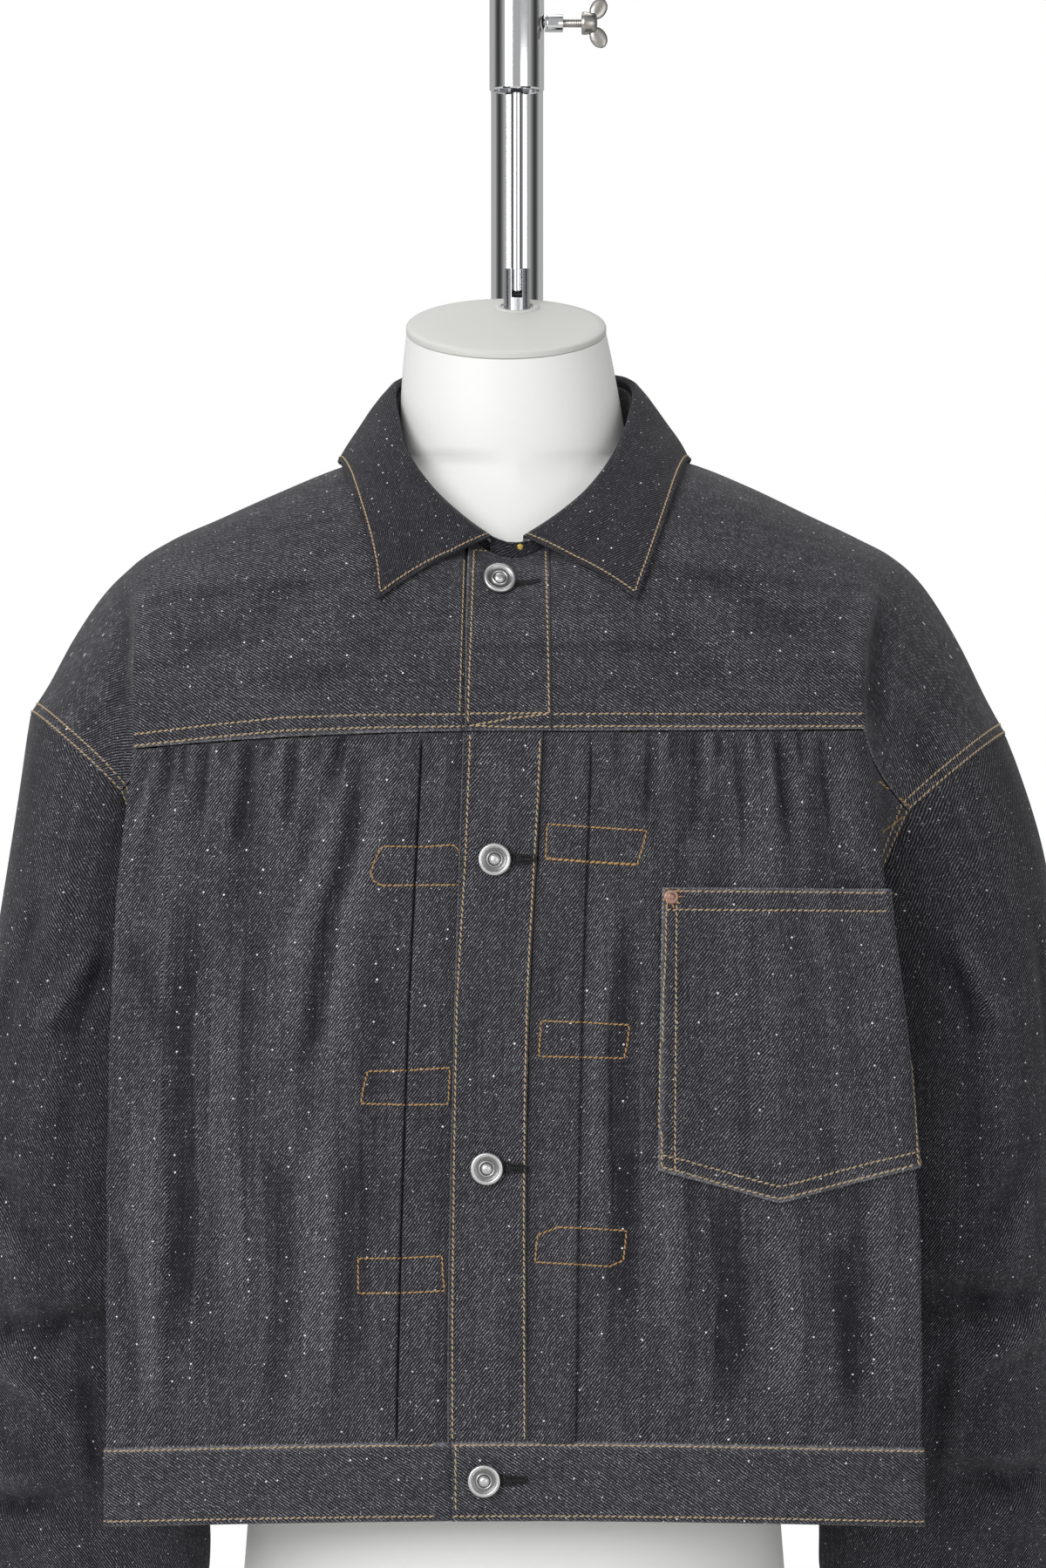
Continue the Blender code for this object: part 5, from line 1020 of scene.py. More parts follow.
def makeCollar():
    samples = shellSamples()
    ks = [0.0, 0.03, 0.08] + spread(0.2, 8.0, 44)
    stations = [(-1, k) for k in ks] + [(1, k) for k in ks[-2::-1]]
    lines = []
    for side, k in stations:
        roll, edge = collarStation(side, k)
        inward = np.array((-roll[0], -roll[1], 0.0))
        inward /= np.linalg.norm(inward)
        bulge = (roll + edge) / 2 + (0, 0, collarSizes["bulge"]) - inward * collarSizes["bulge"]
        line = [roll + inward * 0.0034 - (0, 0, 0.0042), roll + inward * 0.0026 - (0, 0, 0.0018),
                roll + inward * 0.0016]
        for t in [0.03, 0.08] + spread(0.14, 0.93, 20) + [0.955, 0.985, 1.0]:
            point = roll * (1 - t) ** 2 + bulge * 2 * t * (1 - t) + edge * t * t
            line.append(above(point, samples, double + collarSizes["gap"]))
        lines.append(line)
    grid = np.array(lines).transpose(1, 0, 2)
    rows = np.arange(len(grid))[:, None] / len(grid)
    waver = np.sin(rows * 9 + np.arange(grid.shape[1])[None, :] * 0.21)
    out = 0.0005 * bell(rows - 0.98, 0.06) + 0.0004 * waver * eased(rows / 0.3)
    pale = 0.55 * bell(rows - 1, 0.02) + np.zeros(grid.shape[1])[None, :]
    made = shell("collarLeaf", raised(grid, out), double, [collarCloth, inside], grain=1, pale=pale, level=0.8)
    assign(made, "collar", "hung")
    return grid


neckSizes = dict(gap=0.0006, tuck=0.0028, inward=0.0026, down=0.0068, lapX=-0.0145, endHeight=0.0088,
                 flat=(0.56, 0.044), area=0.0124)


def necklinePoint(x, back):
    side = 1 if x >= 0 else -1
    if back:
        tops = np.abs(backPoint(side, np.array(spread(0.0, 0.6, 60)), 2.0))
        return np.array((x, np.interp(abs(x), tops[:, 0], tops[:, 1]), np.interp(abs(x), tops[:, 0], tops[:, 2])))
    foot, top = frontFace(x, 1.0), ridgePoint(side, abs(x))
    return overShoulder(foot, top, lastTurn(foot, top, False), 0.0)


def neckbandStation(side, k):
    roll, _ = collarStation(side, k)
    inward = np.array((-roll[0], -roll[1], 0.0)) / math.hypot(roll[0], roll[1])
    back = roll[1] > ridgeY
    depth = neckBack if back else neckFront
    turn = math.atan2(abs(roll[0]) / neckHalfWidth, abs(roll[1] - ridgeY) / depth)
    bottom = necklinePoint(math.copysign(neckHalfWidth * math.sin(turn), roll[0]), back)
    return bottom + (0, 0, neckSizes["gap"]), roll + inward * neckSizes["inward"] - (0, 0, neckSizes["down"])


def neckbandEnd(x):
    bottom = necklinePoint(x, False) + (0, 0, neckSizes["gap"])
    return bottom, bottom + (0, -0.0008, neckSizes["endHeight"])


def makeNeckband():
    ks = spread(0.6, 8.0, 26)
    edges = [neckbandEnd(0.004), neckbandEnd(-0.006), neckbandEnd(neckSizes["lapX"] - 0.003)]
    edges += [neckbandStation(-1, k) for k in ks] + [neckbandStation(1, k) for k in ks[-2::-1]]
    edges += [neckbandEnd(0.008), neckbandEnd(-0.002), neckbandEnd(neckSizes["lapX"])]
    bottoms, tops = (np.array([edge[i] for edge in edges]) for i in (0, 1))
    # the lowest row is tucked inside the neckline
    inward = -bottoms * (1, 1, 0)
    inward = inward / np.linalg.norm(inward, axis=1, keepdims=True)
    tucked = bottoms + inward * neckSizes["tuck"] - (0, 0, neckSizes["tuck"] * 1.4)
    grid = np.array([tucked] + [mix(bottoms, tops, t) for t in (0.0, 0.25, 0.5, 0.75, 0.96, 1.0)])
    out = np.zeros(grid.shape[:2])
    out[:, :3] = double + seam + 0.0003
    made = shell("neckStand", raised(grid, out), double, [collarCloth, collarCloth], flip=True, grain=1)
    assign(made, "neckband", "hung")


bandLine = makeWaistband()
collarGrid = makeCollar()
makeNeckband()
print("waistband, collar and neckband made")


pocketSizes = dict(x=(0.0835, 0.0862), topH=-0.06, across=(0.0, 0.46, 1.0, 2.0),
                   lowH=(-0.2249, -0.2443, -0.224, -0.2236),
                   wrapLow=0.02, wrapTop=0.16, gap=0.0018, flat=(0.17, 0.185), area=0.0284)


def levelOf(h):
    return (h - waistSeamH) / panelHeight


def pocketPoint(c, r):
    low = np.interp(c, pocketSizes["across"], pocketSizes["lowH"])
    v = levelOf(mix(low, pocketSizes["topH"], r))
    wrapped = frontSide(1, np.maximum(c - 1.0, 0) * mix(pocketSizes["wrapLow"], pocketSizes["wrapTop"], r), v)
    creaseX = creasePoint(1, v)[..., 0]
    face = frontFace(mix(mix(pocketSizes["x"][0], pocketSizes["x"][1], r), creaseX, np.minimum(c, 1.0)), v)
    return np.where((np.asarray(c) > 1.0)[..., None], wrapped, face)


def pocketLie(c, r):
    # where the pocket lies, and the place on the front below it
    base = pocketPoint(c, r)
    v = levelOf(mix(np.interp(c, pocketSizes["across"], pocketSizes["lowH"]), pocketSizes["topH"], r))
    pleat = placketX("leftPleatX", v)
    share = (base[..., 0] - pleat) / (creasePoint(1, v)[..., 0] - pleat)
    return base, mix(pleatAt, creaseAt, share), v


def makePocket():
    across = [0.0, 0.012] + spread(0.03, 1.0, 44) + spread(1.06, 1.94, 8) + [2.0]
    up = [0.0, 0.01] + spread(0.025, 0.975, 44) + [0.99, 1.0]
    c, r = np.meshgrid(across, up)
    base, a, v = pocketLie(c, r)
    under = relief(1, a, v) + creased(base[..., [0, 2]], fronts[1]["creases"]) * eased((1 - a) / 0.12)
    out = np.where(c < 1.0, under, 0.0) + cloth + pocketSizes["gap"]
    edge = 0.0006 * (bell(c, 0.03) + bell(r, 0.03)) + 0.0008 * bell(1 - r, 0.06)
    pale = 0.5 * (bell(c, 0.012) + bell(r, 0.012)) + 0.4 * bell(1 - r, 0.01)
    made = shell("chestPocket", raised(base, out + edge), cloth, [body, inside], pale=pale)
    assign(made, "pocket", "hung")


makePocket()
print("pocket made")


standX, rodY, postY, tubeRadius, tubeBore = 0.0015, 0.037, 0.19, 0.017, 0.0142
legEndH, bendH, boreTopH, screwH, rest = 0.4303, 0.6, 0.596, 0.4726, 0.0003
plugRadius, plugH, plugTopH, rodEndH = 0.0138, 0.434, 0.55, 0.3057
formTable = dict(
    h=(-0.6, -0.52, -0.43, -0.32, -0.2, -0.1, -0.02, 0.05, 0.1, 0.125, 0.143, 0.158, 0.172, 0.184, 0.1915, 0.1965,
       0.202, 0.215, 0.235, 0.26, 0.2775),
    halfWidth=(0.168, 0.168, 0.162, 0.158, 0.166, 0.176, 0.188, 0.203, 0.2125, 0.212, 0.2125, 0.185, 0.156, 0.127,
               0.098, 0.08, 0.0735, 0.0695, 0.0672, 0.064, 0.0612),
    frontY=(-0.108, -0.11, -0.108, -0.11, -0.118, -0.124, -0.124, -0.116, -0.1, -0.088, -0.074, -0.067, -0.062,
            -0.06, -0.06, -0.06, -0.06, -0.0605, -0.0605, -0.059, -0.0572),
    backY=(0.118, 0.12, 0.112, 0.108, 0.118, 0.126, 0.124, 0.113, 0.096, 0.084, 0.074, 0.067, 0.062, 0.06, 0.06,
           0.06, 0.06, 0.06, 0.06, 0.059, 0.0572),
    power=(2.25,) * 8 + (2.2, 2.1, 2.0, 1.8, 1.6, 1.45, 1.35, 1.6, 1.9, 2.0, 2.0, 2.0, 2.0),
    x=(0,) * 10 + (0.001, 0.002, 0.003, 0.003, 0.002, 0.001, 0, -0.001, -0.0025, -0.004, -0.005),
    tilt=(0,) * 16 + (2, 5, 12, 18, 21))
capTilt, capCentre = math.radians(21.0), (-0.005, 0.0, 0.2822)

formWhite = spunFinish("formWhite", (0.8, 0.8, 0.785), 0.025, 0.55, 260.0, bump=0.05)
capGrey = spunFinish("capGrey", (0.6, 0.6, 0.575), 0.03, 0.5, 300.0, bump=0.05)
chromeFinish = spunFinish("chromePlate", (0.8, 0.81, 0.83), 0.03, 0.07, 120.0, metallic=1.0, bump=0.01)
steelFinish = spunFinish("turnedSteel", (0.5, 0.51, 0.53), 0.12, 0.28, 700.0, metallic=1.0, bump=0.1)
darkSteel = spunFinish("darkPin", (0.08, 0.08, 0.085), 0.3, 0.45, 700.0, metallic=1.0, bump=0.1)
brassScrew = spunFinish("wingMetal", (0.42, 0.4, 0.38), 0.25, 0.3, 700.0, metallic=1.0, bump=0.15)
# the buttons and rivets darken in their grooves with painted shade
buttonMetal = spunFinish("buttonMetal", (0.6, 0.6, 0.605), 0.2, 0.38, 1500.0, metallic=1.0, bump=0.25, grooveShade=0.75)
copperFinish = spunFinish("dullCopper", (0.36, 0.215, 0.175), 0.25, 0.42, 1500.0,
                          metallic=1.0, bump=0.3, grooveShade=0.7)


def softened(stops, values, at, straight):
    # rounds the form between its sections, and holds close to them at the shoulders
    if not straight:
        return smooth(stops, values, at)
    return np.mean([np.interp(at + d, stops, values) for d in spread(-0.0045, 0.0045, 7)])


def makeForm():
    steps, hs = 144, []
    table = formTable["h"]
    for low, high in zip(table[:-1], table[1:]):
        hs += spread(low, high, max(int((high - low) / 0.006), 3) + 1)[:-1]
    hs.append(table[-1])
    turns = np.array([2 * math.pi * i / steps for i in range(steps)])
    rings = []
    for h in hs:
        halfWidth, frontY, backY, power, x, tilt = (
            float(softened(table, row, h, 0.1 < h < 0.2)) for row in list(formTable.values())[1:])
        c, s = (np.sign(t) * np.abs(t) ** (2 / power) for t in (np.cos(turns), np.sin(turns)))
        centre = (frontY + backY) / 2
        y = centre + (backY - frontY) / 2 * s
        rings.append(joined(x + halfWidth * c, y, h + chest + (y - centre) * math.tan(math.radians(tilt))))
    rings = np.array(rings)
    made = newObject("formTorso", rings.reshape(-1, 3), tubeFaces(len(rings), steps), [formWhite])
    smoothByAngle(made, 50)
    assign(made, "dress_form", "hung")


capPlace = Matrix.Translation(Vector(capCentre) + Vector((0, 0, chest))) @ Matrix.Rotation(capTilt, 4, "X")


def standing(h):
    return Matrix.Translation((standX, rodY, chest + h))


def makeCane():
    centreY, radius = (postY + rodY) / 2, (postY - rodY) / 2
    path = [(postY, z) for z in [0.01 + rest, 0.012 + rest] + spread(0.1, chest + bendH - 0.02, 14)]
    path += [(centreY + radius * math.cos(t), chest + bendH + radius * math.sin(t))
             for t in spread(0, math.pi, 49)]
    path += [(rodY, z) for z in spread(chest + bendH - 0.02, chest + legEndH + 0.001, 8)]
    path.append((rodY, chest + legEndH))
    steps, points = 48, []
    rings = [(y, z, tubeRadius) for y, z in path]
    rings[-1] = (rodY, chest + legEndH, tubeRadius - 0.0008)
    rings += [(rodY, chest + legEndH, tubeBore + 0.0006), (rodY, chest + legEndH + 0.0006, tubeBore),
              (rodY, chest + boreTopH, tubeBore)]
    for i, (y, z, r) in enumerate(rings):
        if i < len(path):
            near, far = path[max(i - 1, 0)], path[min(i + 1, len(path) - 1)]
            way = Vector((0, far[0] - near[0], far[1] - near[1])).normalized()
        else:
            way = Vector((0, 0, -1))
        over = Vector((0, -way.z, way.y))
        for j in range(steps):
            t = 2 * math.pi * j / steps
            p = Vector((standX, y, z)) + Vector((1, 0, 0)) * r * math.cos(t) + over * r * math.sin(t)
            points.append(tuple(p))
    made = newObject("caneTube", points, tubeFaces(len(rings), steps), [chromeFinish])
    smoothByAngle(made)
    assign(made, "cane_tube", "stand")


def makeStandTurnings():
    base = [(0.0, 0.01), (0.06, 0.01), (0.15, 0.0098), (0.196, 0.0096), (0.1985, 0.009), (0.2, 0.0078),
            (0.2, 0.0014), (0.1992, 0.0), (0.0, 0.0)]
    lathe("basePlate", base, 120, chromeFinish, Matrix.Translation((0, 0.06, 0)), "stand", "base_plate")
    inner = tubeRadius + rest
    foot = [(inner, 0.0215), (0.018, 0.022), (0.0215, 0.0216), (0.0232, 0.02), (0.025, 0.013), (0.0285, 0.0066),
            (0.03, 0.003), (0.03, 0.0), (inner, 0.0)]
    lathe("postCollar", foot, 64, chromeFinish, Matrix.Translation((standX, postY, 0.01 + rest)), "stand",
          "post_collar")
    turn = Matrix.Rotation(math.pi / 2, 4, "Y")
    boss = [(0.0031, 0.0115), (0.0048, 0.0115), (0.0054, 0.0112), (0.0056, 0.0106), (0.0056, 0.002),
            (0.0053, 0.0016), (0.0056, 0.0012), (0.0056, 0.0), (0.0031, 0.0)]
    lathe("screwBoss", boss, 32, chromeFinish,
          Matrix.Translation((standX + tubeRadius + rest, rodY, chest + screwH)) @ turn, "stand",
          "screw_boss")


def makeWingScrew():
    start = standX + plugRadius + rest
    place = Matrix.Translation((start, rodY, chest + screwH)) @ Matrix.Rotation(math.pi / 2, 4, "Y")
    shank = 0.0027
    grip = ((0.0, 0.0516), (0.003, 0.0515), (0.0052, 0.0509), (0.0062, 0.0498), (0.0068, 0.047),
               (0.0072, 0.044), (0.0071, 0.0424), (0.0066, 0.0417), (shank, 0.0417))
    profile = [(r, z - start) for r, z in grip]
    thread = []
    for z in spread(0.0412 - start, 0.0008, 44):
        thread.append((shank if len(thread) % 2 else shank - 0.00022, z))
    lathe("wingScrew", profile + thread + [(shank - 0.0004, 0.0), (0.0, 0.0)], 32, brassScrew, place,
          "clamp_screw", "wing_screw")
    for i, lean in enumerate((28, 152)):
        turn = Matrix.Rotation(math.radians(lean), 4, "Y")
        points, steps, stops = [], 20, 15
        for share in spread(0.0, 1.0, stops):
            reach = mix(0.0036, 0.0169, share)
            wide = 0.0052 * math.sqrt(max(1 - (1.9 * share - 0.93) ** 2, 0.02)) * (1 if share < 0.9 else 0.92)
            thick = mix(0.0021, 0.0012, share) * (1 if share < 0.93 else 0.6)
            for j in range(steps):
                t = 2 * math.pi * j / steps
                points.append(Vector((wide * math.cos(t), thick * math.sin(t), reach)))
        middle = Matrix.Translation((0.0475, rodY, chest + screwH)) @ turn
        wing = newObject(f"wing{i + 1}", [tuple(middle @ p) for p in points],
                         tubeFaces(stops, steps), [brassScrew])
        assign(wing, None, "clamp_screw")


def makeHanger():
    plug = [(0.0043, 0.116), (0.0132, 0.116), (plugRadius, 0.1152), (plugRadius, 0.0008),
            (0.0132, 0.0), (0.0043, 0.0)]
    lathe("slidePlug", plug, 48, steelFinish, standing(plugH), "slider", "slide_plug")
    head = plugTopH + rest - rodEndH
    rod = [(0.0, head + 0.005), (0.007, head + 0.005), (0.0075, head + 0.0044), (0.0075, head), (0.0039, head),
           (0.0039, 0.0006), (0.0034, 0.0), (0.0, 0.0)]
    lathe("hangerRod", rod, 40, chromeFinish, standing(rodEndH), "hung", "hanger_rod")
    cap = [(0.0, 0.0), (0.03, 0.0), (0.056, -0.0001), (0.0602, -0.0004), (0.0611, -0.001), (0.0615, -0.0018),
           (0.0615, -0.004), (0.0, -0.004)]
    lathe("neckCap", cap, 112, capGrey, capPlace, "hung", "neck_cap")
    ring = [(0.0105, 0.0009), (0.0132, 0.0008), (0.014, 0.0004), (0.0142, 0.0001), (0.01, 0.0001), (0.01, 0.0006)]
    y = rodY / math.cos(capTilt)
    lathe("capWasher", ring, 48, capGrey, capPlace @ Matrix.Translation((standX + 0.005, y, 0.0)), "hung")
    for node, finish in (("socket", steelFinish), ("cross_pin", darkSteel)):
        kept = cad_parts[node]
        kept.data.materials.clear()
        kept.data.materials.append(finish)
        smoothByAngle(kept)


makeForm()
makeCane()
makeStandTurnings()
makeWingScrew()
makeHanger()
print("form and stand made")


buttonSeats = ((-0.0093, 0.1185), (-0.0112, -0.044), (-0.0158, -0.224), (-0.0174, -0.4065))


def facing(point, normal):
    turn = Vector(normal).to_track_quat("Z", "Y").to_matrix().to_4x4()
    return Matrix.Translation(Vector(point) + Vector((0, 0, chest))) @ turn


def seatOn(face, proud):
    near = np.array([[np.asarray(face(dx, dv)).reshape(3) for dx in (-0.004, 0.0, 0.004)]
                     for dv in (-0.02, 0.0, 0.02)])
    normal = normalsOf(near)[1, 1]
    return near[1, 1] + normal * (proud + rest), normal


def frontSeats():
    topX, topH = buttonSeats[0]
    rises = np.array(spread(0.0, 1.0, 60))
    topW = float(np.interp(topH, leanFace(topX, topX, rises)[:, 2], rises))
    seats = [seatOn(lambda dx, dw: leanFace(topX + dx, topX + dx, topW + dw), plackets["proud"])]
    for x, h in buttonSeats[1:3]:
        seats.append(seatOn(lambda dx, dv: frontFace(x + dx, levelOf(h) + dv), plackets["proud"]))
    x, h = buttonSeats[3]
    seats.append(seatOn(lambda dx, dv: frontFace(x + dx, 0.0) + (0, 0, h - waistSeamH + dv), bandSizes["top"]))
    return seats


def cuffSeat(side):
    turn = cuffSizes["opening"] + cuffSizes["lap"] / cuffSizes["top"][0] / 2
    point = cuffPoint(side, turn, 0.5, cuffSizes["step"] + rest)
    normal = np.array((side * math.cos(turn) / cuffSizes["top"][0], -math.sin(turn) / cuffSizes["top"][1], 0.0))
    return point, normal / np.linalg.norm(normal)


def makeButtons():
    dome = [(0.0, 0.0049), (0.001, 0.00486), (0.0019, 0.00466), (0.0026, 0.0043), (0.0031, 0.00375),
            (0.0034, 0.0031), (0.0036, 0.0029), (0.0038, 0.003), (0.004, 0.00352), (0.0043, 0.00368),
            (0.0046, 0.0035), (0.0048, 0.00296), (0.005, 0.00278), (0.0066, 0.00282), (0.0069, 0.003),
            (0.0072, 0.00365), (0.0077, 0.00408), (0.0084, 0.00418), (0.0091, 0.00398), (0.0095, 0.00355),
            (0.0097, 0.00295), (0.0095, 0.00235), (0.009, 0.0019), (0.0082, 0.00165), (0.0034, 0.0014),
            (0.0034, 0.0), (0.0, 0.0)]
    seats = {f"button_{i + 1}": seat for i, seat in enumerate(frontSeats())}
    seats["cuff_button_right"], seats["cuff_button_left"] = cuffSeat(-1), cuffSeat(1)
    # the top one hangs forward on its shank
    point, normal = seats["button_1"]
    seats["button_1"] = point + normal * 0.0016, normal + (0.0, -0.42, -0.16)
    for node, (point, normal) in seats.items():
        words = node.split("_")
        name = words[0] + "".join(word.capitalize() for word in words[1:]) + "Metal"
        lathe(name, dome, 64, buttonMetal, facing(point, normal), "hung", node)


def makeRivets():
    cap = [(0.0, 0.00178), (0.0009, 0.00172), (0.0017, 0.00146), (0.0022, 0.00118), (0.0027, 0.00108),
           (0.0034, 0.00116), (0.004, 0.00096), (0.0044, 0.00062), (0.0045, 0.0002), (0.0044, 0.0), (0.0, 0.0)]
    across, up = spread(0.0, 1.0, 14) + [1.5, 2.0], spread(0.0, 1.0, 8)
    c, r = np.meshgrid(across, up)
    base, a, v = pocketLie(c, r)
    grid = raised(base, np.where(c < 1.0, relief(1, a, v), 0.0) + cloth + pocketSizes["gap"])
    for name, node, j, inner in (("rivetInner", "rivet_inner", 0, 1), ("rivetOuter", "rivet_outer", -1, -2)):
        corner = grid[-1, j]
        along, down = (way / np.linalg.norm(way) for way in (grid[-1, inner] - corner, grid[-2, j] - corner))
        normal = np.cross(along, down) * (-1 if j == 0 else 1)
        normal /= np.linalg.norm(normal)
        spot = corner + (along + down) * 0.0055 + normal * 0.0005
        lathe(name, cap, 40, copperFinish, facing(spot, normal), "hung", node)


makeButtons()
makeRivets()
print("buttons and rivets made")


# rows of stitches lie on the finished cloth; a row's look is its pitch, length, width and rise
# in millimetres and its slant in degrees
stitchLooks = dict(
    plain=dict(pitch=3.7, length=3.05, width=1.08, rise=0.4, slant=13.0),
    fine=dict(pitch=3.1, length=2.75, width=0.95, rise=0.34, slant=8.0),
    bold=dict(pitch=3.2, length=3.0, width=1.05, rise=0.42, slant=12.0),
    heavy=dict(pitch=3.5, length=3.45, width=1.55, rise=0.6, slant=12.0),
    bar=dict(pitch=1.0, length=0.9, width=1.7, rise=0.55, slant=32.0))
stitchShape = dict(share=(-0.5, -0.36, 0.0, 0.36, 0.5), width=(0.3, 0.86, 1.0, 0.86, 0.3),
                   lift=(-0.35, 0.62, 1.0, 0.62, -0.35), sides=6)
chance = np.random.default_rng(7)


def skinOf(*names):
    points, faces, start = [], [], 0
    for name in names:
        points.append(surfaces[name][0])
        faces.append(surfaces[name][1] + start)
        start += len(points[-1])
    return BVHTree.FromPolygons(np.concatenate(points).tolist(), np.concatenate(faces).tolist())


def sampled(path, step):
    path = np.asarray(path, float)
    run = np.concatenate([[0.0], np.cumsum(np.linalg.norm(np.diff(path, axis=0), axis=1))])
    at = np.linspace(0, run[-1], max(int(run[-1] / step), 2) + 1)
    return np.stack([np.interp(at, run, path[:, k]) for k in range(path.shape[1])], axis=-1)


def drawnRow(skin, path):
    # a row given as it is seen from the front: x from the centre and height from the chest line in
    # turn, in millimetres
    eye, found = Vector(studio["eye"]), []
    for x, h in sampled(np.reshape(path, (-1, 2)), 1.0):
        way = (Vector((x / 1000, 0.0, chest + h / 1000)) - eye).normalized()
        spot, normal = skin.ray_cast(eye, way)[:2]
        if spot:
            found.append((*spot, *(normal if normal.dot(way) < 0 else -normal)))
    return np.array(found)


def nearRow(skin, points, outward):
    # a row on any side: the nearest place on the cloth, facing the outward hint
    found = []
    outward = np.broadcast_to(outward, points.shape)
    for point, hint in zip(points + (0, 0, chest), outward):
        spot, normal = skin.find_nearest(Vector(point))[:2]
        if spot:
            found.append((*spot, *(normal if normal.dot(Vector(hint)) > 0 else -normal)))
    return np.array(found)


def parted(row, gap=0.004):
    cuts = np.where(np.linalg.norm(np.diff(row[:, :3], axis=0), axis=1) > gap)[0] + 1
    return [piece for piece in np.split(row, cuts) if len(piece) > 2]


def sewn(row, look):
    run = np.concatenate([[0.0], np.cumsum(np.linalg.norm(np.diff(row[:, :3], axis=0), axis=1))]) * 1000
    count = int(round(run[-1] / look["pitch"]))
    if count < 1:
        return None
    pitch = run[-1] / count
    scale = min(pitch / look["pitch"], 1.1)
    centres = pitch * (np.arange(count) + 0.5) + chance.normal(0, 0.1, count)
    share = np.array(stitchShape["share"])
    at = centres[:, None] + share * look["length"] * scale * chance.normal(1.0, 0.04, (count, 1))
    place = np.stack([np.interp(at, run, row[:, k]) for k in range(3)], axis=-1)
    normal = np.stack([np.interp(at, run, row[:, k]) for k in range(3, 6)], axis=-1)
    normal /= np.linalg.norm(normal, axis=-1, keepdims=True)
    way = place[:, -1:] - place[:, :1]
    way = way / np.maximum(np.linalg.norm(way, axis=-1, keepdims=True), 1e-9)
    beside = np.cross(normal, way)
    lean = np.tan(np.radians(look["slant"] + chance.normal(0, 3.0, (count, 1)))) * share * look["length"]
    wide = look["width"] * 0.5 * np.array(stitchShape["width"])
    lift = look["rise"] * np.array(stitchShape["lift"])
    turns = np.arange(stitchShape["sides"]) * 2 * math.pi / stitchShape["sides"]
    ahead = beside[:, :, None] * ((lean[..., None] + wide[:, None] * np.cos(turns)) * 0.001)[..., None]
    tall = (lift + 0 * lean)[..., None] + wide[:, None] * 0.62 * np.sin(turns)
    above = normal[:, :, None] * (tall * 0.001)[..., None]
    return (place[:, :, None] + ahead + above).reshape(-1, 3)


def stitchFaces(count):
    sides, stops = stitchShape["sides"], len(stitchShape["share"])
    one = np.arange(stops * sides).reshape(stops, sides)
    turned = np.roll(one, -1, axis=1)
    tube = np.stack([one[:-1], turned[:-1], turned[1:], one[1:]], axis=-1).reshape(-1, 4)
    each = tube[None] + np.arange(count)[:, None, None] * stops * sides
    ends = [one[0][::-1], one[-1]]
    caps = [end + i * stops * sides for i in range(count) for end in ends]
    return each.reshape(-1, 4).tolist() + [cap.tolist() for cap in caps]


def makeStitches(name, rows, finish):
    points = []
    for row, kind in rows:
        if len(row) < 3:
            continue
        for piece in parted(row):
            made = sewn(piece, stitchLooks[kind])
            if made is not None:
                points.append(made)
    points = np.concatenate(points)
    count = len(points) // (stitchShape["sides"] * len(stitchShape["share"]))
    made = newObject(name, points, stitchFaces(count), [finish])
    assign(made, None, "hung")
    print(name, count, "stitches")


seamRows = dict(
    yokes=(("yokeRight",), (-233.8, 30.4, -187.2, 36.1, -141.8, 40.8, -91.0, 42.4, -33.2, 42.9, -28.4, 42.9),
           (-234.9, 23.3, -187.2, 28.5, -141.8, 32.8, -85.6, 34.8, -28.9, 35.5),
           (-31.0, 137.8, -32.4, 90.7, -33.7, 44.1)),
    yokeOther=(("yokeLeft",), (23.5, 42.9, 58.9, 43.2, 112.4, 43.0, 214.0, 43.2),
               (23.5, 35.4, 58.9, 35.6, 112.4, 35.4, 214.0, 35.6)),
    upperStrip=(("placketUpper",), (-27.8, 43.3, -2.7, 43.4, 22.0, 43.6), (-24.0, 36.4, -2.7, 40.2, 20.6, 43.0),
                (-28.0, 36.0, -2.7, 35.0, 22.0, 35.2), (-24.9, 143.6, -26.2, 106.7, -27.6, 69.3, -28.6, 37.7),
                (-25.1, 143.6, -16.1, 142.8, -3.7, 142.3), (19.3, 143.1, 20.2, 106.7, 20.9, 74.6, 21.4, 44.0)),
    lowerStrip=(("placketLower",),
                (-27.0, 32.4, -30.0, -45.7, -35.3, -134.0, -36.9, -225.0, -38.0, -321.3, -38.0, -402.5)),
    band=(("waistStrip",), (-36.0, -405.8, -36.0, -445.9)))
boxRows = dict(
    right=(("frontRight",), (-79.7, -38.3, -54.0, -38.5, -38.0, -37.2, -35.0, -39.3, -33.2, -44.1, -32.9, -58.0,
                             -33.2, -61.8, -81.3, -62.3, -86.1, -59.7, -88.3, -54.8, -85.6, -46.8, -82.4, -39.9,
                             -79.7, -38.3), (-89.9, -176.3, -64.2, -175.7, -39.6, -174.1, -40.1, -184.8, -40.7,
                                             -196.6, -66.9, -196.9, -94.2, -196.1, -92.6, -186.4, -89.9, -176.3),
           (-95.8, -291.3, -69.5, -291.0, -44.4, -289.7, -43.9, -300.9, -42.8, -311.1, -69.5, -312.4, -95.8,
            -312.7, -95.8, -301.5, -95.8, -291.3)),
    left=(("frontLeft", "placketLower"), (19.3, -45.7, 20.3, -24.6, 48.2, -26.5, 81.3, -28.6, 78.6, -39.3, 75.4,
                                          -49.5), (67.4, -168.3, 41.7, -167.7, 15.0, -167.2, 16.6, -145.3, 42.8,
                                                   -146.3, 70.6, -147.9, 69.5, -158.6, 67.4, -168.3),
          (14.4, -276.9, 26.8, -272.0, 48.2, -272.9, 69.0, -274.2, 67.9, -283.8, 66.9, -292.4, 58.3, -296.1, 37.5,
           -294.8, 12.8, -293.4, 14.4, -276.9)))


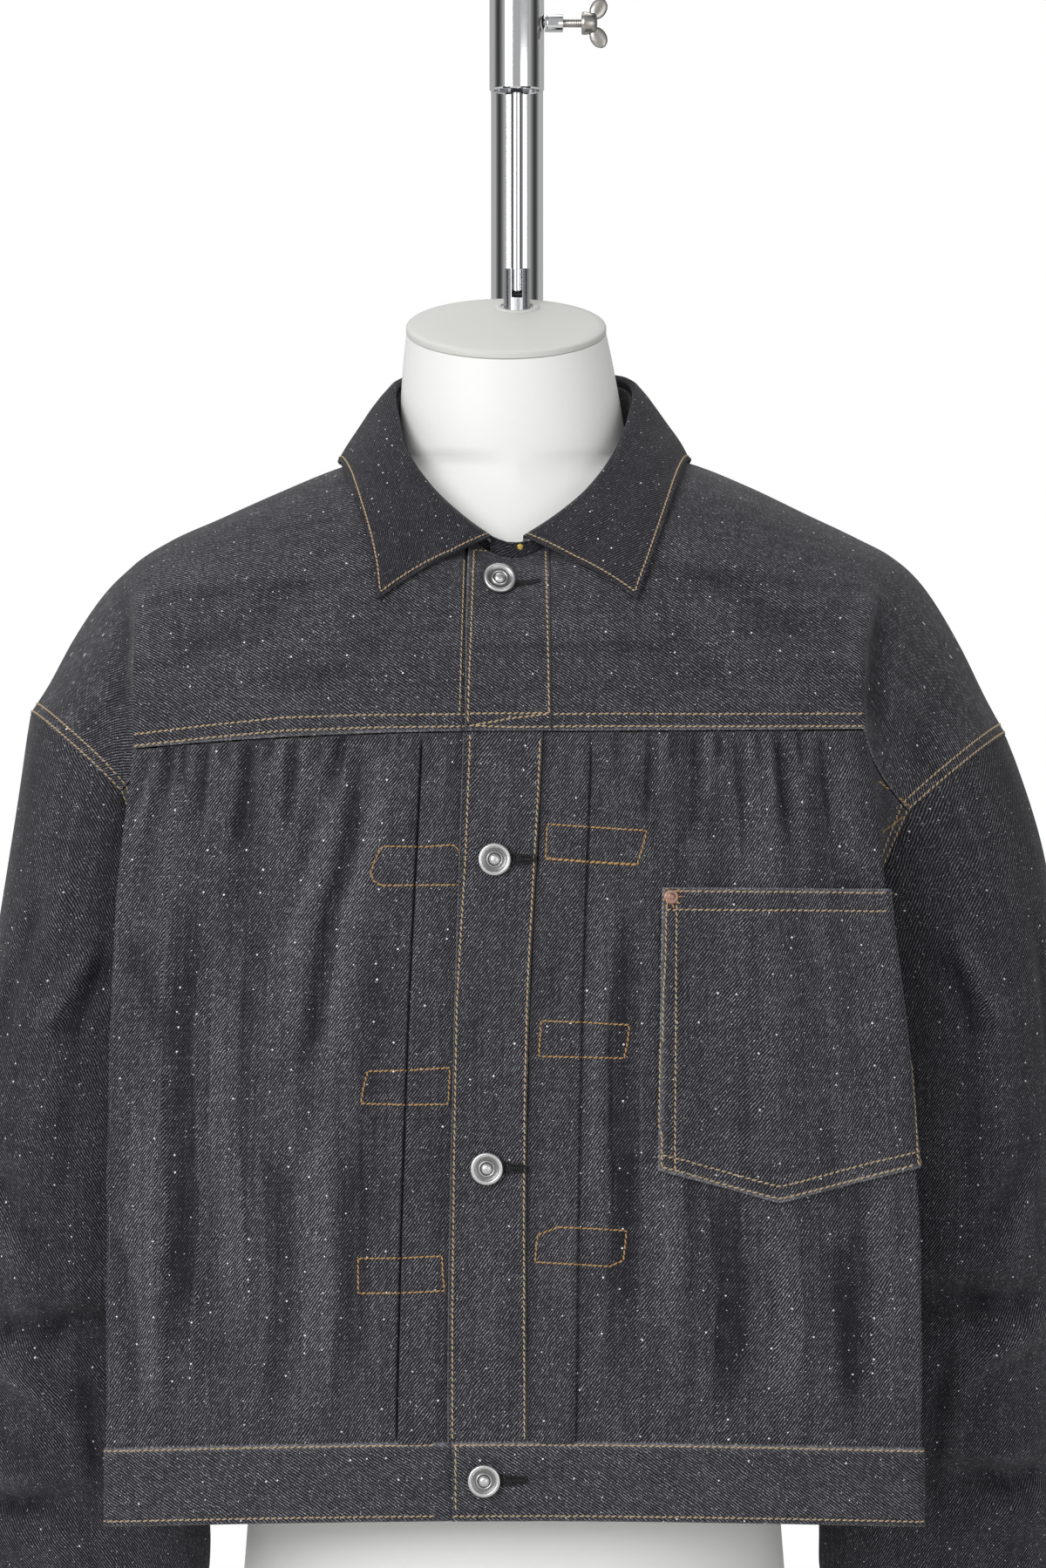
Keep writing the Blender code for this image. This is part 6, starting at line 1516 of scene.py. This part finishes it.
def armholeRow(side, inset):
    # round the armhole on the body's side of the seam, a set distance in from its edge
    parts = []
    low = spread(1.0, armholeV, 60)
    for function, levels in ((lambda a, v: yokePoint(side, a, v), spread(1.0, 0.0, 110)),
                             (lambda a, v: frontPoint(side, a, v), low),
                             (lambda a, v: backPoint(side, a, v),
                              low[::-1] + [1 + w for w in spread(0.0, 1.0, 110)])):
        edge, inner = function(1.0, np.array(levels)), function(0.95, np.array(levels))
        way = inner - edge
        parts.append(edge + way / np.linalg.norm(way, axis=-1, keepdims=True) * inset)
    names = ("yokeRight", "frontRight", "backPanel") if side < 0 else ("yokeLeft", "frontLeft", "backPanel")
    rows = []
    for part, name in zip(parts, names):
        rows.append(nearRow(skinOf(name), sampled(part, 0.001),
                            part.mean(axis=0) * (1, 1, 0) + (side * 0.2, 0, 0.15)))
    return rows


def collarRow(inset):
    # in from the outer edge and both ends of the collar, turning at its points
    grid = collarGrid
    rows, columns = len(grid), grid.shape[1]
    fromEdge = np.cumsum(np.linalg.norm(np.diff(grid, axis=0), axis=2)[::-1], axis=0)[::-1]
    fromEdge = np.concatenate([fromEdge, np.zeros((1, columns))])
    across = np.concatenate([np.zeros((rows, 1)),
                             np.cumsum(np.linalg.norm(np.diff(grid, axis=1), axis=2), axis=1)], axis=1)

    def inRow(r, distance):
        return np.array([np.interp(distance, across[r], grid[r, :, k]) for k in range(3)])

    start = [inRow(r, inset) for r in range(2, rows) if np.interp(inset, across[r], fromEdge[r]) > inset]
    end = [inRow(r, across[r, -1] - inset) for r in range(2, rows)
           if np.interp(across[r, -1] - inset, across[r], fromEdge[r]) > inset]
    foot = []
    for j in range(columns):
        line = fromEdge[::-1, j]
        spot = np.array([np.interp(inset, line, grid[::-1, j, k]) for k in range(3)])
        if min(across[-3, j], across[-3, -1] - across[-3, j]) > inset:
            foot.append(spot)
    path = sampled(np.array(start + foot + end[::-1]), 0.001)
    return nearRow(skinOf("collarLeaf"), path, path * (1, 1, 0) + (0, 0, 0.12))


def pocketRow(inset, sides):
    def farPoint(r):
        edge = pocketPoint(2.0, r)
        way = pocketPoint(1.4, r) - edge
        return edge + way / np.linalg.norm(way) * inset

    skin, rows, faceWidth = skinOf("chestPocket"), [], 0.155
    for side in sides:
        if side == "left":
            line = [pocketPoint(inset / faceWidth, r) for r in spread(0.012, 0.985, 80)]
        elif side == "foot":
            line = [pocketPoint(c, 0.0) + (0, 0, inset * 1.02) for c in spread(0.015, 1.97, 120)]
        elif side == "far":
            line = [farPoint(r) for r in spread(0.012, 0.985, 80)]
        else:
            line = [pocketPoint(c, 1.0) - (0, 0, inset) for c in spread(0.01, 1.97, 120)]
        path = sampled(np.array([np.asarray(p).reshape(3) for p in line]), 0.001)
        rows.append((nearRow(skin, path, path * (1, 1, 0)), "plain"))
    return rows


def cuffRow(side, drop):
    name = "cuffRight" if side < 0 else "cuffLeft"
    turns = np.array(spread(cuffSizes["opening"] + 0.03, cuffSizes["opening"] + 2 * math.pi + 0.3, 300))
    line = sampled(cuffPoint(side, turns, drop, 0.001), 0.001)
    x, y = cuffSizes["centre"]
    return nearRow(skinOf(name), line, (line - (side * x, y, 0.0)) * (1, 1, 0))


def sewAll():
    rows = []
    for names, *paths in seamRows.values():
        rows += [(drawnRow(skinOf(*names), path), "plain") for path in paths]
    levels = np.array(spread(0.008, 0.985, 300))
    fold = sampled(frontFace(placketX("foldX", levels) - 0.0013, levels), 0.001)
    rows.append((nearRow(skinOf("placketLower"), fold, (0, -1, 0)), "plain"))
    waist = skinOf("waistStrip")
    hidden = 12  # the first stops of the waistband, under its lap
    for height in (-0.0002, -0.0416):
        line = sampled(bandLine[hidden:] + (0, 0, height), 0.001)
        rows.append((nearRow(waist, line, line * (1, 1, 0)), "plain"))
    rows += pocketRow(0.0022, ("left", "foot", "far", "top")) + pocketRow(0.0096, ("left", "foot", "far"))
    rows.append(pocketRow(0.013, ("top",))[0])
    makeStitches("stitchesBody", rows, thread)
    rows = [(row, "plain") for side in (-1, 1) for inset in (0.002, 0.0075) for row in armholeRow(side, inset)]
    rows += [(cuffRow(side, drop), "plain") for side in (-1, 1) for drop in (0.06, 0.92)]
    makeStitches("stitchesSleeves", rows, thread)
    makeStitches("stitchesCollar", [(collarRow(0.003), "fine")], thread)
    rows = [(drawnRow(skinOf(*names), path), "bold") for names, *paths in boxRows.values() for path in paths]
    rows.append((drawnRow(skinOf("frontLeft"), [(75.4, -49.5), (48.2, -47.9), (19.3, -45.7)]), "heavy"))
    left = skinOf("yokeLeft", "frontLeft")
    rows += [(drawnRow(left, path), "bold") for path in ([(223.6, 1.9), (232.7, -5.6), (242.4, -13.6)],
                                                         [(225.8, -29.2), (232.2, -24.9), (238.1, -20.1)])]
    makeStitches("stitchesBoxes", rows, boldThread)


def makeButtonholes():
    # worked in black: a keyhole of close bars that shows beyond each button
    rows = []
    skins = [skinOf("placketUpper"), skinOf("placketLower"), skinOf("placketLower"), skinOf("waistStrip")]
    for skin, (centre, _), reach in zip(skins, frontSeats(), (0.0245, 0.025, 0.025, 0.025)):
        path = []
        for t in spread(0.0, 2 * math.pi, 60):
            share = 0.5 - 0.5 * math.cos(t)
            tall = mix(0.003, 0.0014, share) * (1 if abs(math.sin(t)) > 0.2 else abs(math.sin(t)) / 0.2)
            path.append(centre + (mix(0.0075, reach, share), 0.0, tall * (1 if t < math.pi else -1)))
        paths = [path] + [[centre + (0.008, 0, dz), centre + (reach - 0.0012, 0, dz * 0.4)]
                          for dz in (0.0007, 0.0, -0.0007)]
        rows += [(nearRow(skin, sampled(line, 0.0006), (0, -1, 0)), "bar") for line in paths]
    makeStitches("buttonholeStitches", rows, blackThread)


def makeTacks():
    # a yellow tack where the neckband meets the strip, and bold ones round the pocket's rivets
    rows = []
    skin = skinOf("neckStand", "placketUpper", "yokeLeft")
    x, h, reach = 3.7, 145.6, 2.2
    for angle in (20, 62, 100, 150, 128, 80):
        dx, dh = reach * math.cos(math.radians(angle)), reach * math.sin(math.radians(angle))
        rows.append((drawnRow(skin, (x - dx, h - dh, x + dx, h + dh)), "heavy"))
    makeStitches("yellowTack", rows, yellowThread)
    rows, skin = [], skinOf("chestPocket")
    for name in ("rivetInner", "rivetOuter"):
        rivet = bpy.data.objects[name]
        centre = np.mean([np.array(v.co) for v in rivet.data.vertices], axis=0) - (0, 0, chest)
        for angle in range(0, 360, 40):
            way = np.array((math.cos(math.radians(angle)), 0.0, math.sin(math.radians(angle))))
            if name == "rivetOuter":
                way = np.array((0.0, way[0], way[2]))
            ends = np.array([centre + way * 0.0042, centre + way * 0.0072])
            rows.append((nearRow(skin, sampled(ends, 0.0006), (0.5, -1, 0)), "bold"))
    makeStitches("rivetTacks", rows, boldThread)


sewAll()
makeButtonholes()
makeTacks()
print("stitches made")


def makeFloor():
    finish = spunFinish("paleFloor", (0.8, 0.8, 0.79), 0.02, 0.8, 30.0, bump=0.02)
    xs, ys, top, bottom = spread(-1.7, 1.7, 35), spread(-1.7, 1.15, 30), -0.0005, -0.02
    points = [(x, y, z) for z in (top, bottom) for y in ys for x in xs]
    count, wide, faces = len(xs) * len(ys), len(xs), []
    for j in range(len(ys) - 1):
        for i in range(wide - 1):
            a = j * wide + i
            faces += [[a, a + 1, a + wide + 1, a + wide],
                      [a + count + wide, a + count + wide + 1, a + count + 1, a + count]]
    rim = list(range(wide)) + [j * wide + wide - 1 for j in range(1, len(ys))]
    rim += [count - 1 - i for i in range(1, wide)] + [j * wide for j in range(len(ys) - 2, 0, -1)]
    for a, b in zip(rim, rim[1:] + rim[:1]):
        faces.append([a, a + count, b + count, b])
    newObject("studioFloor", points, faces, [finish], smoothShade=False)


def makeLight(name, settings, target=(0.0, 0.0, 0.75)):
    light = bpy.data.lights.new(name, "AREA")
    light.shape, light.size, light.energy = "SQUARE", settings["size"], settings["power"]
    made = bpy.data.objects.new(name, light)
    made.location = settings["place"]
    made.rotation_euler = (Vector(target) - Vector(settings["place"])).to_track_quat("-Z", "Y").to_euler()
    bpy.context.scene.collection.objects.link(made)


def makeWorld():
    world = bpy.data.worlds.new("studioWorld")
    world.use_nodes = True
    tree = world.node_tree
    tree.nodes.clear()
    add, calc = nodeTools(tree)
    rays = add("LightPath").outputs
    # dark flags stand at both sides of the set, and show in polished metal alone
    apart = add("SeparateXYZ", None, i0=add("TexCoord").outputs["Generated"])
    near = calc("DIVIDE", calc("ABSOLUTE", calc("ADD", apart.outputs[1], studio["flagsAt"])), studio["flags"])
    lost = calc("SUBTRACT", 1.0, calc("POWER", calc("MINIMUM", near, 1.0), 2.0))
    lost = calc("MULTIPLY", lost, studio["flagDepth"])
    gain = calc("SUBTRACT", 1.0, calc("MULTIPLY", lost, rays["Is Glossy Ray"]))
    lit = add("Background", None, i0=(1.0, 0.995, 0.985, 1), i1=calc("MULTIPLY", gain, studio["world"]))
    seen = add("Background", None, i0=(1, 1, 1, 1), i1=1.0)
    blend = add("MixShader", None, i0=rays["Is Camera Ray"], i1=lit.outputs[0], i2=seen.outputs[0])
    add("OutputWorld", None, i0=blend.outputs[0])
    bpy.context.scene.world = world


def makeCamera():
    lens = bpy.data.cameras.new("mainCamera")
    lens.sensor_width, lens.lens = 36.0, studio["lens"]
    camera = bpy.data.objects.new("mainCamera", lens)
    camera.location, camera.rotation_euler = studio["eye"], (math.pi / 2, 0, 0)
    bpy.context.scene.collection.objects.link(camera)
    bpy.context.scene.camera = camera


makeFloor()
for name in ("key", "fill", "top"):
    makeLight(name + "Light", studio[name])
makeWorld()
makeCamera()
bpy.context.scene.view_settings.view_transform = "Standard"
bpy.context.scene.view_settings.look = "None"
print("stage ready")
